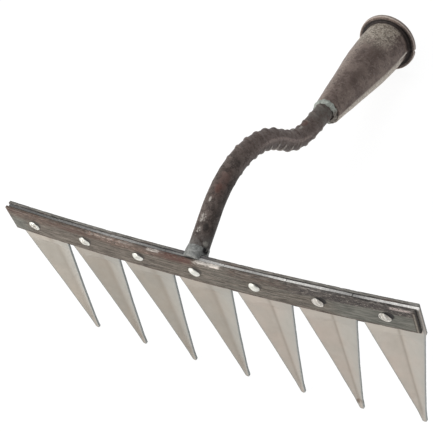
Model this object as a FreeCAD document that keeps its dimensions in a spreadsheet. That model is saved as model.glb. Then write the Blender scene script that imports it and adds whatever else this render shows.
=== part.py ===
import FreeCAD, Part
import Sketcher
import math, os

# Seven-tooth riveted weeding rake head: a clamped row of creased steel blades,
# a bent ribbed neck and a flanged handle socket.
#
# Working frame of the head ("bar frame", millimetres):
#   X along the bar, Y from the front clamp strip towards the handle, Z up,
#   blades pointing down (-Z), rivet line at z = 0.
# The bar is bowed: its middle stands towards -Y, and the strips are arcs about
# a vertical axis far behind the bar ("bow centre").
# HEAD carries the bar frame to the part frame: origin at the centre of the
# socket mouth, rotated about X so that the blade tips and the flange rim stand
# on one level.

os.makedirs("parts", exist_ok=True)
doc = FreeCAD.newDocument("weeding_rake_head")
Vector = FreeCAD.Vector
Rotation = FreeCAD.Rotation
Placement = FreeCAD.Placement

# ---------------------------------------------------------------- dimensions
DIMS = [
    # bar: two bowed clamp strips with the blade row between them;
    # left and right are arc lengths from the middle, top and bottom from z = 0
    ("pitch", 38.7), ("bow_depth", 4.0), ("bow_radius", 2268.7),
    ("front_left", 135.1), ("front_right", 134.3), ("front_thick", 1.8),
    ("front_top", 10.45), ("front_bottom", 9.45),
    ("rear_left", 135.0), ("rear_right", 134.9), ("rear_thick", 2.2),
    ("rear_top", 10.5), ("rear_bottom", 15.6), ("gap", 1.65),
    ("strip_round", 0.35), ("hole_radius", 2.4),
    # blades
    ("blade_thick", 1.5), ("blade_width", 38.3), ("blade_top", 10.2), ("end_trim", 17.45),
    ("blade_clear", 0.105), ("blade_offset", 1.9), ("blade_splay", 0.43),
    ("taper_start", 3.0), ("strip_level", 11.9), ("width_strip", 34.9),
    ("clamp_end", 16.1), ("fold_full", 21.1), ("mid_level", 60.9), ("tip_margin", 10.6),
    ("blade_length", 109.4), ("blade_length_end", 105.8),
    ("width_clamp_end", 33.3), ("width_fold_full", 31.3), ("width_mid", 17.0),
    ("width_low", 5.1), ("width_tip", 2.9), ("tip_round", 1.3),
    ("tip_shift", -0.3), ("tip_shift_end", 0.8), ("blade_hole_depth", 30.0),
    # crease depth of each blade, from the left
    ("fold_one", 4.6), ("fold_two", 4.2), ("fold_three", 4.0), ("fold_four", 3.8),
    ("fold_five", 3.6), ("fold_six", 3.5), ("fold_seven", 3.8),
    # rivets
    ("head_radius", 3.9), ("head_rise", 1.5), ("shank_radius", 2.3),
    ("tail_radius", 3.4), ("tail_rise", 1.2), ("rivet_clear", 0.01),
    ("flush_lift", 0.01), ("flush_half", 5.0), ("flush_depth", 4.0),
    # neck: the path starts path_lead inside the bar and is trimmed at rod_face
    ("rod_radius", 6.15), ("rod_face", 1.72), ("rod_height", 6.52), ("rod_yaw", 0.24),
    ("rod_rise", 22.2), ("rod_first", 26.41), ("bend_one", 65.45),
    ("rod_fall", 54.49), ("rod_second", 3.33), ("bend_two", 53.19),
    ("rod_last", 33.15), ("path_lead", 6.0),
    ("seat_cut_reach", 20.0), ("seat_cut_half", 25.0), ("seat_cut_width", 40.0),
    ("spine_rib_half", 6.55), ("spine_rib_width", 1.5), ("rib_roll", 10.0),
    ("rib_ring", 5.95), ("rib_wire", 0.85), ("rib_tilt", 24.0),
    ("rib_start", 59.5), ("rib_step", 9.3), ("rib_count", 12),
    # socket
    ("mouth_y", 245.6), ("mouth_z", -58.66), ("socket_dip", 14.3),
    ("socket_length", 92.0), ("flange_radius", 20.65), ("flange_thick", 2.4),
    ("barrel_radius", 16.1), ("barrel_end", 12.0), ("shoulder_end", 45.0),
    ("shoulder_drop", 1.84), ("shoulder_radius", 297.0), ("small_radius", 9.0),
    ("bore_radius", 14.5), ("bore_end", 24.0), ("small_bore", 7.5),
    ("flange_round", 0.8), ("flange_root_round", 1.0),
    # weld between the neck and the bar, and the blocks that trim it
    ("bar_weld_base", 7.7), ("bar_weld_neck", 6.35), ("bar_weld_front", 4.0),
    ("bar_weld_rear", 6.0), ("weld_face_gap", 0.02), ("weld_top_gap", 0.03),
    ("block_depth", 40.0), ("block_height", 60.0), ("stop_length", 60.0), ("stop_bottom", 20.0),
    # weld bead between the neck and the socket
    ("bead_radius", 8.8), ("bead_inner", 4.8), ("bead_rise", 3.0), ("bead_root", 3.0),
    ("bead_bore_gap", 0.05), ("bead_end_gap", 0.03), ("bead_edge", 0.9),
    ("bead_crown", 1.6), ("bead_bulge", 4.6),
    # attitude of the head on a level floor
    ("rest_tilt", 7.35),
]
sheet = doc.addObject("Spreadsheet::Sheet", "Dims")
for row, (alias, number) in enumerate(DIMS, start=1):
    sheet.set("A%d" % row, alias)
    sheet.set("B%d" % row, str(number))
    sheet.setAlias("B%d" % row, alias)
doc.recompute()
SIZES = dict(DIMS)


class Quantity:
    """A number together with the sheet expression that gives it."""

    def __init__(self, value, text):
        self.value = float(value)
        self.text = text

    @staticmethod
    def of(item):
        return item if isinstance(item, Quantity) else Quantity(item, "(%r)" % float(item))

    def __add__(self, other):
        other = Quantity.of(other)
        return Quantity(self.value + other.value, "(%s + %s)" % (self.text, other.text))

    def __sub__(self, other):
        other = Quantity.of(other)
        return Quantity(self.value - other.value, "(%s - %s)" % (self.text, other.text))

    def __mul__(self, other):
        other = Quantity.of(other)
        return Quantity(self.value * other.value, "(%s * %s)" % (self.text, other.text))

    def __rmul__(self, other):
        return Quantity.of(other) * self

    def __truediv__(self, other):
        other = Quantity.of(other)
        return Quantity(self.value / other.value, "(%s / %s)" % (self.text, other.text))

    def __neg__(self):
        return Quantity(-self.value, "(0 - %s)" % self.text)


def dim(name):
    return Quantity(SIZES[name], "Dims." + name)


def sine(angle):
    return Quantity(math.sin(math.radians(angle.value)), "sin(%s * 1 deg)" % angle.text)


def cosine(angle):
    return Quantity(math.cos(math.radians(angle.value)), "cos(%s * 1 deg)" % angle.text)


# ----------------------------------------------------------- general helpers
def origin_feature(body, role):
    return [f for f in body.Origin.OriginFeatures if f.Role == role][0]


def new_body(name):
    return doc.addObject("PartDesign::Body", name)


def new_sketch(body, name, role, offset=None):
    """A sketch on an origin plane, moved along the plane's normal by offset."""
    sketch = body.newObject("Sketcher::SketchObject", name)
    sketch.AttachmentSupport = [(origin_feature(body, role), "")]
    sketch.MapMode = "FlatFace"
    if offset is not None:
        sketch.AttachmentOffset = Placement(Vector(0, 0, offset.value), Rotation())
        sketch.setExpression("AttachmentOffset.Base.z", offset.text)
    return sketch


def drive(obj, prop, quantity):
    """Set a property and bind it to the sheet."""
    setattr(obj, prop, quantity.value)
    obj.setExpression(prop, quantity.text)


def bind(sketch, kind, args, quantity):
    """Add a dimension and bind it to the sheet."""
    index = sketch.addConstraint(Sketcher.Constraint(kind, *args, quantity.value))
    sketch.setExpression("Constraints[%d]" % index, quantity.text)


def pin(sketch, geo, pos, x, y):
    """Fix a vertex at (x, y) measured from the sketch origin."""
    for kind, axis, quantity in (("DistanceX", -2, x), ("DistanceY", -1, y)):
        quantity = Quantity.of(quantity)
        if quantity.value == 0.0:
            sketch.addConstraint(Sketcher.Constraint("PointOnObject", geo, pos, axis))
        else:
            bind(sketch, kind, (-1, 1, geo, pos), quantity)


def arc_centre(start, end, turn, radius):
    """Centre to the left (turn 1) or the right (turn -1) of the way start to end."""
    half = (end - start).Length / 2.0
    along = end - start
    along.normalize()
    offset = math.sqrt(max(radius ** 2 - half ** 2, 0.0))
    return (start + end) * 0.5 + Vector(-along.y, along.x, 0) * (offset * turn)


def direction(centre, point):
    return math.atan2(point.y - centre.y, point.x - centre.x)


def add_edge(sketch, start, end, turn=0, radius=None):
    """Add a line (turn 0), or an arc running counter-clockwise (1) or clockwise
    (-1). Returns its index and the vertex numbers of its start and end."""
    if turn == 0:
        return sketch.addGeometry(Part.LineSegment(start, end), False), 1, 2
    centre = arc_centre(start, end, turn, radius.value)
    first, last = direction(centre, start), direction(centre, end)
    if turn < 0:
        first, last = last, first
    if last < first:
        last += 2 * math.pi
    circle = Part.Circle(centre, Vector(0, 0, 1), radius.value)
    geo = sketch.addGeometry(Part.ArcOfCircle(circle, first, last), False)
    bind(sketch, "Radius", (geo,), radius)
    return (geo, 1, 2) if turn > 0 else (geo, 2, 1)


def closed_profile(sketch, points, arcs=None):
    """Closed profile through points; arcs maps an edge index to (turn, radius)."""
    arcs = arcs or {}
    count = len(points)
    corners = [Vector(Quantity.of(x).value, Quantity.of(y).value, 0) for x, y in points]
    edges = [add_edge(sketch, corners[i], corners[(i + 1) % count], *arcs.get(i, ()))
             for i in range(count)]
    for i in range(count):
        geo, _, end_pos = edges[i]
        next_geo, next_start, _ = edges[(i + 1) % count]
        sketch.addConstraint(
            Sketcher.Constraint("Coincident", geo, end_pos, next_geo, next_start))
    for (geo, start_pos, _), (x, y) in zip(edges, points):
        pin(sketch, geo, start_pos, x, y)


def add_circle(sketch, radius, x=0.0):
    """A circle on the sketch's horizontal axis."""
    x = Quantity.of(x)
    circle = Part.Circle(Vector(x.value, 0, 0), Vector(0, 0, 1), radius.value)
    geo = sketch.addGeometry(circle, False)
    pin(sketch, geo, 3, x, 0)
    bind(sketch, "Radius", (geo,), radius)


def revolve(body, name, sketch):
    """A full turn of the profile about the sketch's horizontal axis."""
    turned = body.newObject("PartDesign::Revolution", name)
    turned.Profile = sketch
    turned.ReferenceAxis = (sketch, ["H_Axis"])
    turned.Angle = 360.0
    doc.recompute()
    return turned


def fillet(body, name, base, edges, radius):
    rounded = body.newObject("PartDesign::Fillet", name)
    rounded.Base = (base, edges)
    drive(rounded, "Radius", radius)
    doc.recompute()
    return rounded


def pocket_through(body, name, sketch, depth):
    """Pocket of the given depth, half of it to each side of the sketch."""
    pocket = body.newObject("PartDesign::Pocket", name)
    pocket.Profile = sketch
    pocket.Type = "Length"
    pocket.Midplane = True
    drive(pocket, "Length", depth)
    doc.recompute()
    return pocket


def removes(cut, base, least):
    return cut.Shape.Volume < base.Shape.Volume - least


def require_cut(cut, base, least):
    """Stop unless the cut has removed at least this volume."""
    if not removes(cut, base, least):
        raise RuntimeError("nothing removed by " + cut.Name)


def shift(x, y, z):
    return Placement(Vector(x, y, z), Rotation())


# -------------------------------------------------------------------- frames
HEAD = Placement(Vector(0, 0, 0), Rotation(Vector(1, 0, 0), -SIZES["rest_tilt"])).multiply(
    shift(0, -SIZES["mouth_y"], -SIZES["mouth_z"]))
# the bow centre: strips, holes, rivets and blades are laid out about it
BOW = HEAD.multiply(shift(0, SIZES["bow_radius"] - SIZES["bow_depth"], 0))
# the socket's own frame within the bar frame: origin at the mouth, Y out of it
SOCKET = Placement(Vector(0, SIZES["mouth_y"], SIZES["mouth_z"]),
                   Rotation(Vector(1, 0, 0), -SIZES["socket_dip"]))
# the rod stands a little off square to the bar, turned about its seat
YAW = Placement(Vector(0, 0, 0), Rotation(Vector(0, 0, 1), SIZES["rod_yaw"]),
                Vector(0, SIZES["rod_face"], 0))
DEGREES = Quantity.of(math.degrees(1))
PITCH_ANGLE = dim("pitch") / dim("bow_radius") * DEGREES


def repeat_along_bow(body, feature, prefix):
    """Repeat the middle feature three times to each side, about the bow centre."""
    for side, is_reversed in (("right", False), ("left", True)):
        pattern = body.newObject("PartDesign::PolarPattern", "%s_%s" % (prefix, side))
        pattern.Originals = [feature]
        pattern.Axis = (origin_feature(body, "Z_Axis"), [""])
        pattern.Reversed = is_reversed
        pattern.Occurrences = 4
        drive(pattern, "Angle", 3 * PITCH_ANGLE)
        body.Tip = pattern
        doc.recompute()
    return pattern


# ---------------------------------------------------------------- the strips
def clamp_strip(side, outer):
    """A flat bar bent to the bow, its front face at radius outer, drilled for
    the seven rivets."""
    name = side + "_strip"
    left, right, thick, top, bottom = [
        dim("%s_%s" % (side, part)) for part in ("left", "right", "thick", "top", "bottom")]
    body = new_body(name)
    inner = outer - thick
    left_angle = left / dim("bow_radius") * DEGREES
    right_angle = right / dim("bow_radius") * DEGREES
    outline = new_sketch(body, name + "_outline", "XY_Plane", -bottom)
    closed_profile(outline, [
        (-(outer * sine(left_angle)), -(outer * cosine(left_angle))),    # front left
        (outer * sine(right_angle), -(outer * cosine(right_angle))),     # front right
        (inner * sine(right_angle), -(inner * cosine(right_angle))),     # rear right
        (-(inner * sine(left_angle)), -(inner * cosine(left_angle))),    # rear left
    ], {0: (1, outer), 2: (-1, inner)})
    bar = body.newObject("PartDesign::Pad", name + "_bar")
    bar.Profile = outline
    drive(bar, "Length", top + bottom)
    doc.recompute()

    long_edges = ["Edge%d" % i for i, edge in enumerate(bar.Shape.Edges, start=1)
                  if edge.Length > 100.0]
    eased = fillet(body, name + "_arrises", bar, long_edges, dim("strip_round"))

    hole_sketch = new_sketch(body, name + "_hole", "XZ_Plane")
    add_circle(hole_sketch, dim("hole_radius"))
    hole = body.newObject("PartDesign::Pocket", name + "_rivet_hole")
    hole.Profile = hole_sketch
    hole.Type = "ThroughAll"
    hole.Reversed = True
    doc.recompute()
    # the hole must run towards -Y, where the strip is; turn it if it does not
    if not removes(hole, eased, 1.0):
        hole.Reversed = False
        doc.recompute()
    holes = repeat_along_bow(body, hole, name + "_holes")
    require_cut(holes, hole, 1.0)
    body.Placement = BOW
    return body


# ---------------------------------------------------------------- the blades
def make_blade(index, fold_name):
    """One blade, index -3 (left) to 3 (right): flat where it is clamped, then
    pressed to a shallow V whose valley faces the front and fades out at the tip."""
    name = "blade_%d" % (index + 4)
    body = new_body(name)
    fold = dim(fold_name)
    thick = dim("blade_thick")
    # the blade at the right-hand end is shorter and its tip leans outwards
    at_right_end = index == 3
    length = dim("blade_length_end" if at_right_end else "blade_length")
    lean = dim("tip_shift_end" if at_right_end else "tip_shift")
    # height, width, share of the crease depth, share of the tip's sideways lean
    levels = [
        (dim("blade_top"), dim("blade_width"), 0.0, 0.0),
        (-dim("taper_start"), dim("blade_width"), 0.0, 0.0),
        (-dim("strip_level"), dim("width_strip"), 0.0, 0.0),
        (-dim("clamp_end"), dim("width_clamp_end"), 0.0, 0.0),
        (-dim("fold_full"), dim("width_fold_full"), 1.0, 0.0),
        (-dim("mid_level"), dim("width_mid"), 0.55, 0.5),
        (-(length - dim("tip_margin")), dim("width_low"), 0.1, 1.0),
        (-length, dim("width_tip"), 0.0, 1.0),
    ]
    sections = []
    for k, (height, width, fold_share, lean_share) in enumerate(levels):
        section = new_sketch(body, "%s_level_%d" % (name, k), "XY_Plane", height)
        half = width / 2
        # the last blade is trimmed near the end of the bar
        right_half = dim("end_trim") if at_right_end and k < 3 else half
        crease = fold * fold_share
        middle = lean * lean_share
        closed_profile(section, [
            (middle - half, 0), (middle, crease), (middle + right_half, 0),
            (middle + right_half, thick), (middle, crease + thick), (middle - half, thick)])
        sections.append(section)
    plate = body.newObject("PartDesign::AdditiveLoft", name + "_plate")
    plate.Profile = sections[0]
    plate.Sections = sections[1:]
    plate.Ruled = True
    plate.Closed = False
    doc.recompute()

    # the two edges that cross the thickness at the tip
    tip_edges = []
    for i, edge in enumerate(plate.Shape.Edges, start=1):
        start, end = edge.Vertexes[0].Point, edge.Vertexes[-1].Point
        at_tip = abs(start.z + length.value) < 1e-3 and abs(end.z + length.value) < 1e-3
        if at_tip and abs(start.x - end.x) < 1e-3 and abs(start.x) > 0.5:
            tip_edges.append("Edge%d" % i)
    rounded = fillet(body, name + "_tip", plate, tip_edges, dim("tip_round"))

    hole_sketch = new_sketch(body, name + "_hole", "XZ_Plane")
    add_circle(hole_sketch, dim("hole_radius"), -dim("blade_offset"))
    hole = pocket_through(body, name + "_rivet_hole", hole_sketch, dim("blade_hole_depth"))
    require_cut(hole, rounded, 1.0)

    # tangent to the bow at its own rivet, slid sideways by the row's offset
    # and splayed outwards towards the ends of the bar
    around = Placement(Vector(0, 0, 0), Rotation(Vector(0, 0, 1), index * PITCH_ANGLE.value))
    seat_radius = SIZES["bow_radius"] - SIZES["front_thick"] - SIZES["blade_clear"]
    seated = Placement(Vector(SIZES["blade_offset"], -seat_radius, 0),
                       Rotation(Vector(0, 1, 0), -index / 3.0 * SIZES["blade_splay"]))
    body.Placement = BOW.multiply(around.multiply(seated))
    return body


# ---------------------------------------------------------------- the rivets
def dome_radius(radius, rise):
    """Radius of the ball whose cap has this base radius and rise."""
    return (radius * radius + rise * rise) / (2 * rise)


def make_rivets():
    """Seven domed rivets; the middle one is flush at the back, under the neck."""
    body = new_body("blade_rivets")
    body.AllowCompound = True
    stack = dim("front_thick") + dim("gap") + dim("rear_thick")
    front = -(dim("bow_radius") + dim("rivet_clear"))
    rear = -(dim("bow_radius") - stack - dim("rivet_clear"))
    head_radius, head_rise = dim("head_radius"), dim("head_rise")
    tail_radius, tail_rise = dim("tail_radius"), dim("tail_rise")
    profile = new_sketch(body, "rivet_profile", "YZ_Plane")
    closed_profile(profile, [
        (front - head_rise, 0), (rear + tail_rise, 0), (rear, tail_radius),
        (rear, dim("shank_radius")), (front, dim("shank_radius")), (front, head_radius),
    ], {1: (1, dome_radius(tail_radius, tail_rise)), 5: (1, dome_radius(head_radius, head_rise))})
    rivet = revolve(body, "rivet", profile)
    row = repeat_along_bow(body, rivet, "rivets")

    half = dim("flush_half")
    square = new_sketch(body, "flush_trim", "XZ_Plane", -(rear + dim("flush_lift")))
    closed_profile(square, [(-half, -half), (half, -half), (half, half), (-half, half)])
    flush = body.newObject("PartDesign::Pocket", "flush_tail")
    flush.Profile = square
    flush.Type = "Length"
    drive(flush, "Length", dim("flush_depth"))
    doc.recompute()
    require_cut(flush, row, 5.0)
    body.Placement = BOW
    return body


# ------------------------------------------------------------------ the neck
def draw_neck_path(path):
    """Draw the rod's centre line in the YZ plane. Returns its numeric segments
    as (start, end, turn, radius) for laying out the ribs."""
    rise, fall, dip = dim("rod_rise"), dim("rod_fall"), dim("socket_dip")
    bend_one, bend_two = dim("bend_one"), dim("bend_two")
    lead = dim("path_lead")
    start_y = dim("rod_face") - lead * cosine(rise)
    start_z = dim("rod_height") - lead * sine(rise)
    first = dim("rod_first") + lead
    # turn, radius, step along Y, step along Z
    steps = [
        (0, None, first * cosine(rise), first * sine(rise)),
        (-1, bend_one, bend_one * (sine(rise) + sine(fall)),
         bend_one * (cosine(fall) - cosine(rise))),
        (0, None, dim("rod_second") * cosine(fall), -(dim("rod_second") * sine(fall))),
        (1, bend_two, bend_two * (sine(fall) - sine(dip)),
         -(bend_two * (cosine(dip) - cosine(fall)))),
        (0, None, dim("rod_last") * cosine(dip), -(dim("rod_last") * sine(dip))),
    ]
    segments = []
    start = Vector(start_y.value, start_z.value, 0)
    previous = None
    for turn, radius, step_y, step_z in steps:
        end = start + Vector(step_y.value, step_z.value, 0)
        geo, start_pos, end_pos = add_edge(path, start, end, turn, radius)
        if previous is None:
            pin(path, geo, start_pos, start_y, start_z)
        else:
            path.addConstraint(Sketcher.Constraint("Coincident", *previous, geo, start_pos))
        bind(path, "DistanceX", (geo, start_pos, geo, end_pos), step_y)
        bind(path, "DistanceY", (geo, start_pos, geo, end_pos), step_z)
        segments.append((start, end, turn, radius.value if turn else None))
        previous = (geo, end_pos)
        start = end
    doc.recompute()
    return segments


def path_point(segments, distance):
    """Point and tangent at a distance from the seat, as (Y, Z) vectors."""
    remaining = distance + SIZES["path_lead"]
    for start, end, turn, radius in segments:
        if turn == 0:
            length = (end - start).Length
            if remaining <= length:
                along = end - start
                along.normalize()
                return start + along * remaining, along
        else:
            centre = arc_centre(start, end, turn, radius)
            first = direction(centre, start)
            sweep = direction(centre, end) - first
            if sweep * turn < 0:
                sweep += 2 * math.pi * turn
            length = radius * abs(sweep)
            if remaining <= length:
                angle = first + sweep * remaining / length
                point = centre + Vector(math.cos(angle), math.sin(angle), 0) * radius
                return point, Vector(-math.sin(angle), math.cos(angle), 0) * turn
        remaining -= length
    raise RuntimeError("rib beyond the end of the neck")


def section_sketch(body, name, path):
    """A sketch square to the path at its start."""
    sketch = body.newObject("Sketcher::SketchObject", name)
    sketch.AttachmentSupport = [(path, "Edge1")]
    sketch.MapMode = "NormalToEdge"
    doc.recompute()
    return sketch


def sweep_section(body, name, section, path):
    pipe = body.newObject("PartDesign::AdditivePipe", name)
    pipe.Profile = section
    pipe.Spine = (path, [])
    pipe.Mode = "Standard"
    doc.recompute()
    return pipe


def rolled_point(rotation, across, over):
    """Sketch point of a section corner, measured along (across) and square to
    (over) the rib line, which is rolled up from the head's X."""
    roll_cos, roll_sin = cosine(dim("rib_roll")), sine(dim("rib_roll"))
    along_x = across * roll_cos - over * roll_sin
    along_up = across * roll_sin + over * roll_cos
    rise = math.radians(SIZES["rod_rise"])
    up = Vector(0, -math.sin(rise), math.cos(rise))
    point = []
    for axis in (rotation.multVec(Vector(1, 0, 0)), rotation.multVec(Vector(0, 1, 0))):
        lies_in_x = abs(axis.x) > 0.7
        part = along_x if lies_in_x else along_up
        sign = axis.x if lies_in_x else axis.dot(up)
        point.append(part if sign > 0 else -part)
    return tuple(point)


def make_neck_core():
    """The bent rod with a spine rib on each side. Returns the body and the
    numeric segments of its path."""
    body = new_body("neck_core")
    path = new_sketch(body, "neck_path", "YZ_Plane")
    segments = draw_neck_path(path)

    rod_section = section_sketch(body, "rod_section", path)
    add_circle(rod_section, dim("rod_radius"))
    sweep_section(body, "rod", rod_section, path)
    path_start = Vector(0, segments[0][0].x, segments[0][0].y)
    if (rod_section.getGlobalPlacement().Base - path_start).Length > 0.01:
        raise RuntimeError("neck section is not at the start of its path")

    rib_section = section_sketch(body, "spine_rib_section", path)
    rotation = rib_section.getGlobalPlacement().Rotation
    reach, half = dim("spine_rib_half"), dim("spine_rib_width") / 2
    corners = [(-reach, -half), (reach, -half), (reach, half), (-reach, half)]
    closed_profile(rib_section, [rolled_point(rotation, *corner) for corner in corners])
    spine_ribs = sweep_section(body, "spine_ribs", rib_section, path)

    # trim the start flat against the rear strip
    face, tall = dim("rod_face"), dim("seat_cut_half")
    ahead = face - dim("seat_cut_reach")
    cut_sketch = new_sketch(body, "seat_cut", "YZ_Plane")
    closed_profile(cut_sketch, [(ahead, -tall), (face, -tall), (face, tall), (ahead, tall)])
    seat = pocket_through(body, "seat", cut_sketch, dim("seat_cut_width"))
    require_cut(seat, spine_ribs, 50.0)
    body.Placement = YAW
    return body, segments


def make_neck_rod(core, segments):
    """The core with crescent ribs: rings inclined to the rod, proud between the
    spine ribs and sunk beside them."""
    tilt, roll = math.radians(SIZES["rib_tilt"]), math.radians(SIZES["rib_roll"])
    rings = []
    for k in range(SIZES["rib_count"]):
        point, tangent = path_point(segments, SIZES["rib_start"] + k * SIZES["rib_step"])
        ring = doc.addObject("Part::Torus", "rib_%02d" % (k + 1))
        drive(ring, "Radius1", dim("rib_ring"))
        drive(ring, "Radius2", dim("rib_wire"))
        along = Vector(0, tangent.x, tangent.y)
        normal = Vector(0, -tangent.y, tangent.x)
        spine = Vector(1, 0, 0) * math.cos(roll) + normal * math.sin(roll)
        axis = along * math.cos(tilt) + spine * math.sin(tilt)
        ring.Placement = YAW.multiply(
            Placement(Vector(0, point.x, point.y), Rotation(Vector(0, 0, 1), axis)))
        rings.append(ring)
    fused = doc.addObject("Part::MultiFuse", "neck_rod")
    fused.Shapes = [core] + rings
    doc.recompute()
    fused.Placement = HEAD
    return fused


# ---------------------------------------------------------------- the socket
def ring_edges(shape, wanted):
    """Names of circular edges at (y, radius) about the Y axis."""
    names = []
    for i, edge in enumerate(shape.Edges, start=1):
        if edge.Curve.TypeId == "Part::GeomCircle" and edge.Length > 1.0:
            for y, radius in wanted:
                if (abs(edge.Curve.Center.y - y) < 1e-3
                        and abs(edge.Curve.Radius - radius) < 1e-3):
                    names.append("Edge%d" % i)
    return names


def make_socket():
    """The flanged socket, turned about its own Y axis from the mouth inwards."""
    body = new_body("handle_socket")
    flange_back = -dim("flange_thick")
    small_end = -dim("socket_length")
    profile = new_sketch(body, "socket_profile", "YZ_Plane")
    closed_profile(profile, [
        (0, dim("bore_radius")), (0, dim("flange_radius")),
        (flange_back, dim("flange_radius")), (flange_back, dim("barrel_radius")),
        (-dim("barrel_end"), dim("barrel_radius")),
        (-dim("shoulder_end"), dim("barrel_radius") - dim("shoulder_drop")),
        (small_end, dim("small_radius")), (small_end, dim("small_bore")),
        (-dim("bore_end"), dim("bore_radius")),
    ], {4: (1, dim("shoulder_radius"))})
    wall = revolve(body, "socket_wall", profile)
    flange_radius = SIZES["flange_radius"]
    rim_edges = ring_edges(wall.Shape, [(0, flange_radius), (flange_back.value, flange_radius)])
    rim = fillet(body, "flange_rim", wall, rim_edges, dim("flange_round"))
    root_edges = ring_edges(rim.Shape, [(flange_back.value, SIZES["barrel_radius"])])
    fillet(body, "flange_root", rim, root_edges, dim("flange_root_round"))
    body.Placement = HEAD.multiply(SOCKET)
    return body


# ----------------------------------------------------------------- the welds
def neck_copy(name, core):
    copy = doc.addObject("Part::Feature", name)
    copy.Shape = core.Shape.copy()
    return copy


def make_block(name, length, corner):
    block = doc.addObject("Part::Box", name)
    drive(block, "Length", length)
    drive(block, "Width", dim("block_depth"))
    drive(block, "Height", dim("block_height"))
    block.Placement = shift(*corner)
    return block


def make_bar_weld(core):
    """Collar that joins the neck's seat to the rear strip and laps over its top."""
    rise = math.radians(SIZES["rod_rise"])
    axis = Vector(0, math.cos(rise), math.sin(rise))
    collar = doc.addObject("Part::Cone", "bar_weld_collar")
    drive(collar, "Radius1", dim("bar_weld_base"))
    drive(collar, "Radius2", dim("bar_weld_neck"))
    drive(collar, "Height", dim("bar_weld_front") + dim("bar_weld_rear"))
    seat = Vector(0, SIZES["rod_face"], SIZES["rod_height"])
    collar.Placement = Placement(seat - axis * SIZES["bar_weld_front"],
                                 Rotation(Vector(0, 0, 1), axis))
    # the space of the bar, below its top and ahead of the neck's seat
    bar_block = make_block("bar_weld_bar_side", 4 * dim("bar_weld_base"), (
        -2 * SIZES["bar_weld_base"],
        SIZES["rod_face"] - SIZES["weld_face_gap"] - SIZES["block_depth"],
        SIZES["rear_top"] + SIZES["weld_top_gap"] - SIZES["block_height"]))
    rod_side = neck_copy("bar_weld_rod_side", core)
    # everything ahead of the front strip's rear face
    front_stop = make_block("bar_weld_front_stop", dim("stop_length"), (
        -SIZES["stop_length"] / 2,
        -SIZES["bow_depth"] + SIZES["front_thick"] - SIZES["block_depth"],
        -SIZES["stop_bottom"]))
    tools = doc.addObject("Part::MultiFuse", "bar_weld_tools")
    tools.Shapes = [bar_block, rod_side, front_stop]
    weld = doc.addObject("Part::Cut", "neck_to_bar_weld")
    weld.Base = collar
    weld.Tool = tools
    doc.recompute()
    weld.Placement = HEAD
    return weld


def make_socket_weld(core):
    """Bead that closes the gap between the neck and the socket's small end."""
    blank = new_body("bead_blank")
    end = -dim("socket_length")
    root = end + dim("bead_root")
    face = end - dim("bead_end_gap")
    crown = end - dim("bead_rise")
    fill_radius = dim("small_bore") - dim("bead_bore_gap")
    profile = new_sketch(blank, "bead_profile", "YZ_Plane")
    closed_profile(profile, [
        (root, dim("bead_inner")), (root, fill_radius), (face, fill_radius),
        (face, dim("bead_radius")), (end - dim("bead_edge"), dim("bead_radius")),
        (crown, dim("bead_inner") + dim("bead_crown")), (crown, dim("bead_inner")),
    ], {4: (1, dim("bead_bulge"))})
    revolve(blank, "bead", profile)
    blank.Placement = SOCKET
    rod_side = neck_copy("bead_rod_side", core)
    weld = doc.addObject("Part::Cut", "neck_to_socket_weld")
    weld.Base = blank
    weld.Tool = rod_side
    doc.recompute()
    weld.Placement = HEAD
    doc.recompute()
    return weld


# ---------------------------------------------------------- build and export
front_strip = clamp_strip("front", dim("bow_radius"))
rear_strip = clamp_strip("rear", dim("bow_radius") - dim("front_thick") - dim("gap"))
FOLDS = ["fold_one", "fold_two", "fold_three", "fold_four", "fold_five", "fold_six", "fold_seven"]
blades = [make_blade(i - 3, fold_name) for i, fold_name in enumerate(FOLDS)]
rivets = make_rivets()
neck_core, neck_segments = make_neck_core()
neck_rod = make_neck_rod(neck_core, neck_segments)
socket = make_socket()
bar_weld = make_bar_weld(neck_core)
socket_weld = make_socket_weld(neck_core)

NODES = [socket, neck_rod, front_strip, rear_strip] + blades + [rivets, bar_weld, socket_weld]
for obj in doc.Objects:
    for flag in ("Invalid", "Error"):
        if flag in obj.State:
            raise RuntimeError("%s is %s" % (obj.Name, obj.State))
for obj in NODES:
    shape = obj.Shape
    if shape.isNull() or not shape.isValid() or not shape.Solids:
        raise RuntimeError("bad shape: " + obj.Label)
for obj in NODES:
    obj.Shape.exportStep(os.path.join("parts", obj.Label + ".step"))
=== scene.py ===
"""Riveted weeding rake head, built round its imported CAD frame.

Seven folded blades hang from two bowed strips that clamp them with rivets. A ribbed round
bar, welded behind the strips, bends twice and ends in a rolled conical handle socket.

Shapes are worked out in the bar frame, in mm: X to the right along the bar, Y back from the
front strip to the handle, Z up, rivet centres at z = 0. to_row() turns them into the row
frame of the CAD, in metres, whose origin is the centre of the socket's mouth.
"""

import math

import bmesh
import bpy
import numpy as np
from mathutils import Matrix, Vector


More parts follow.
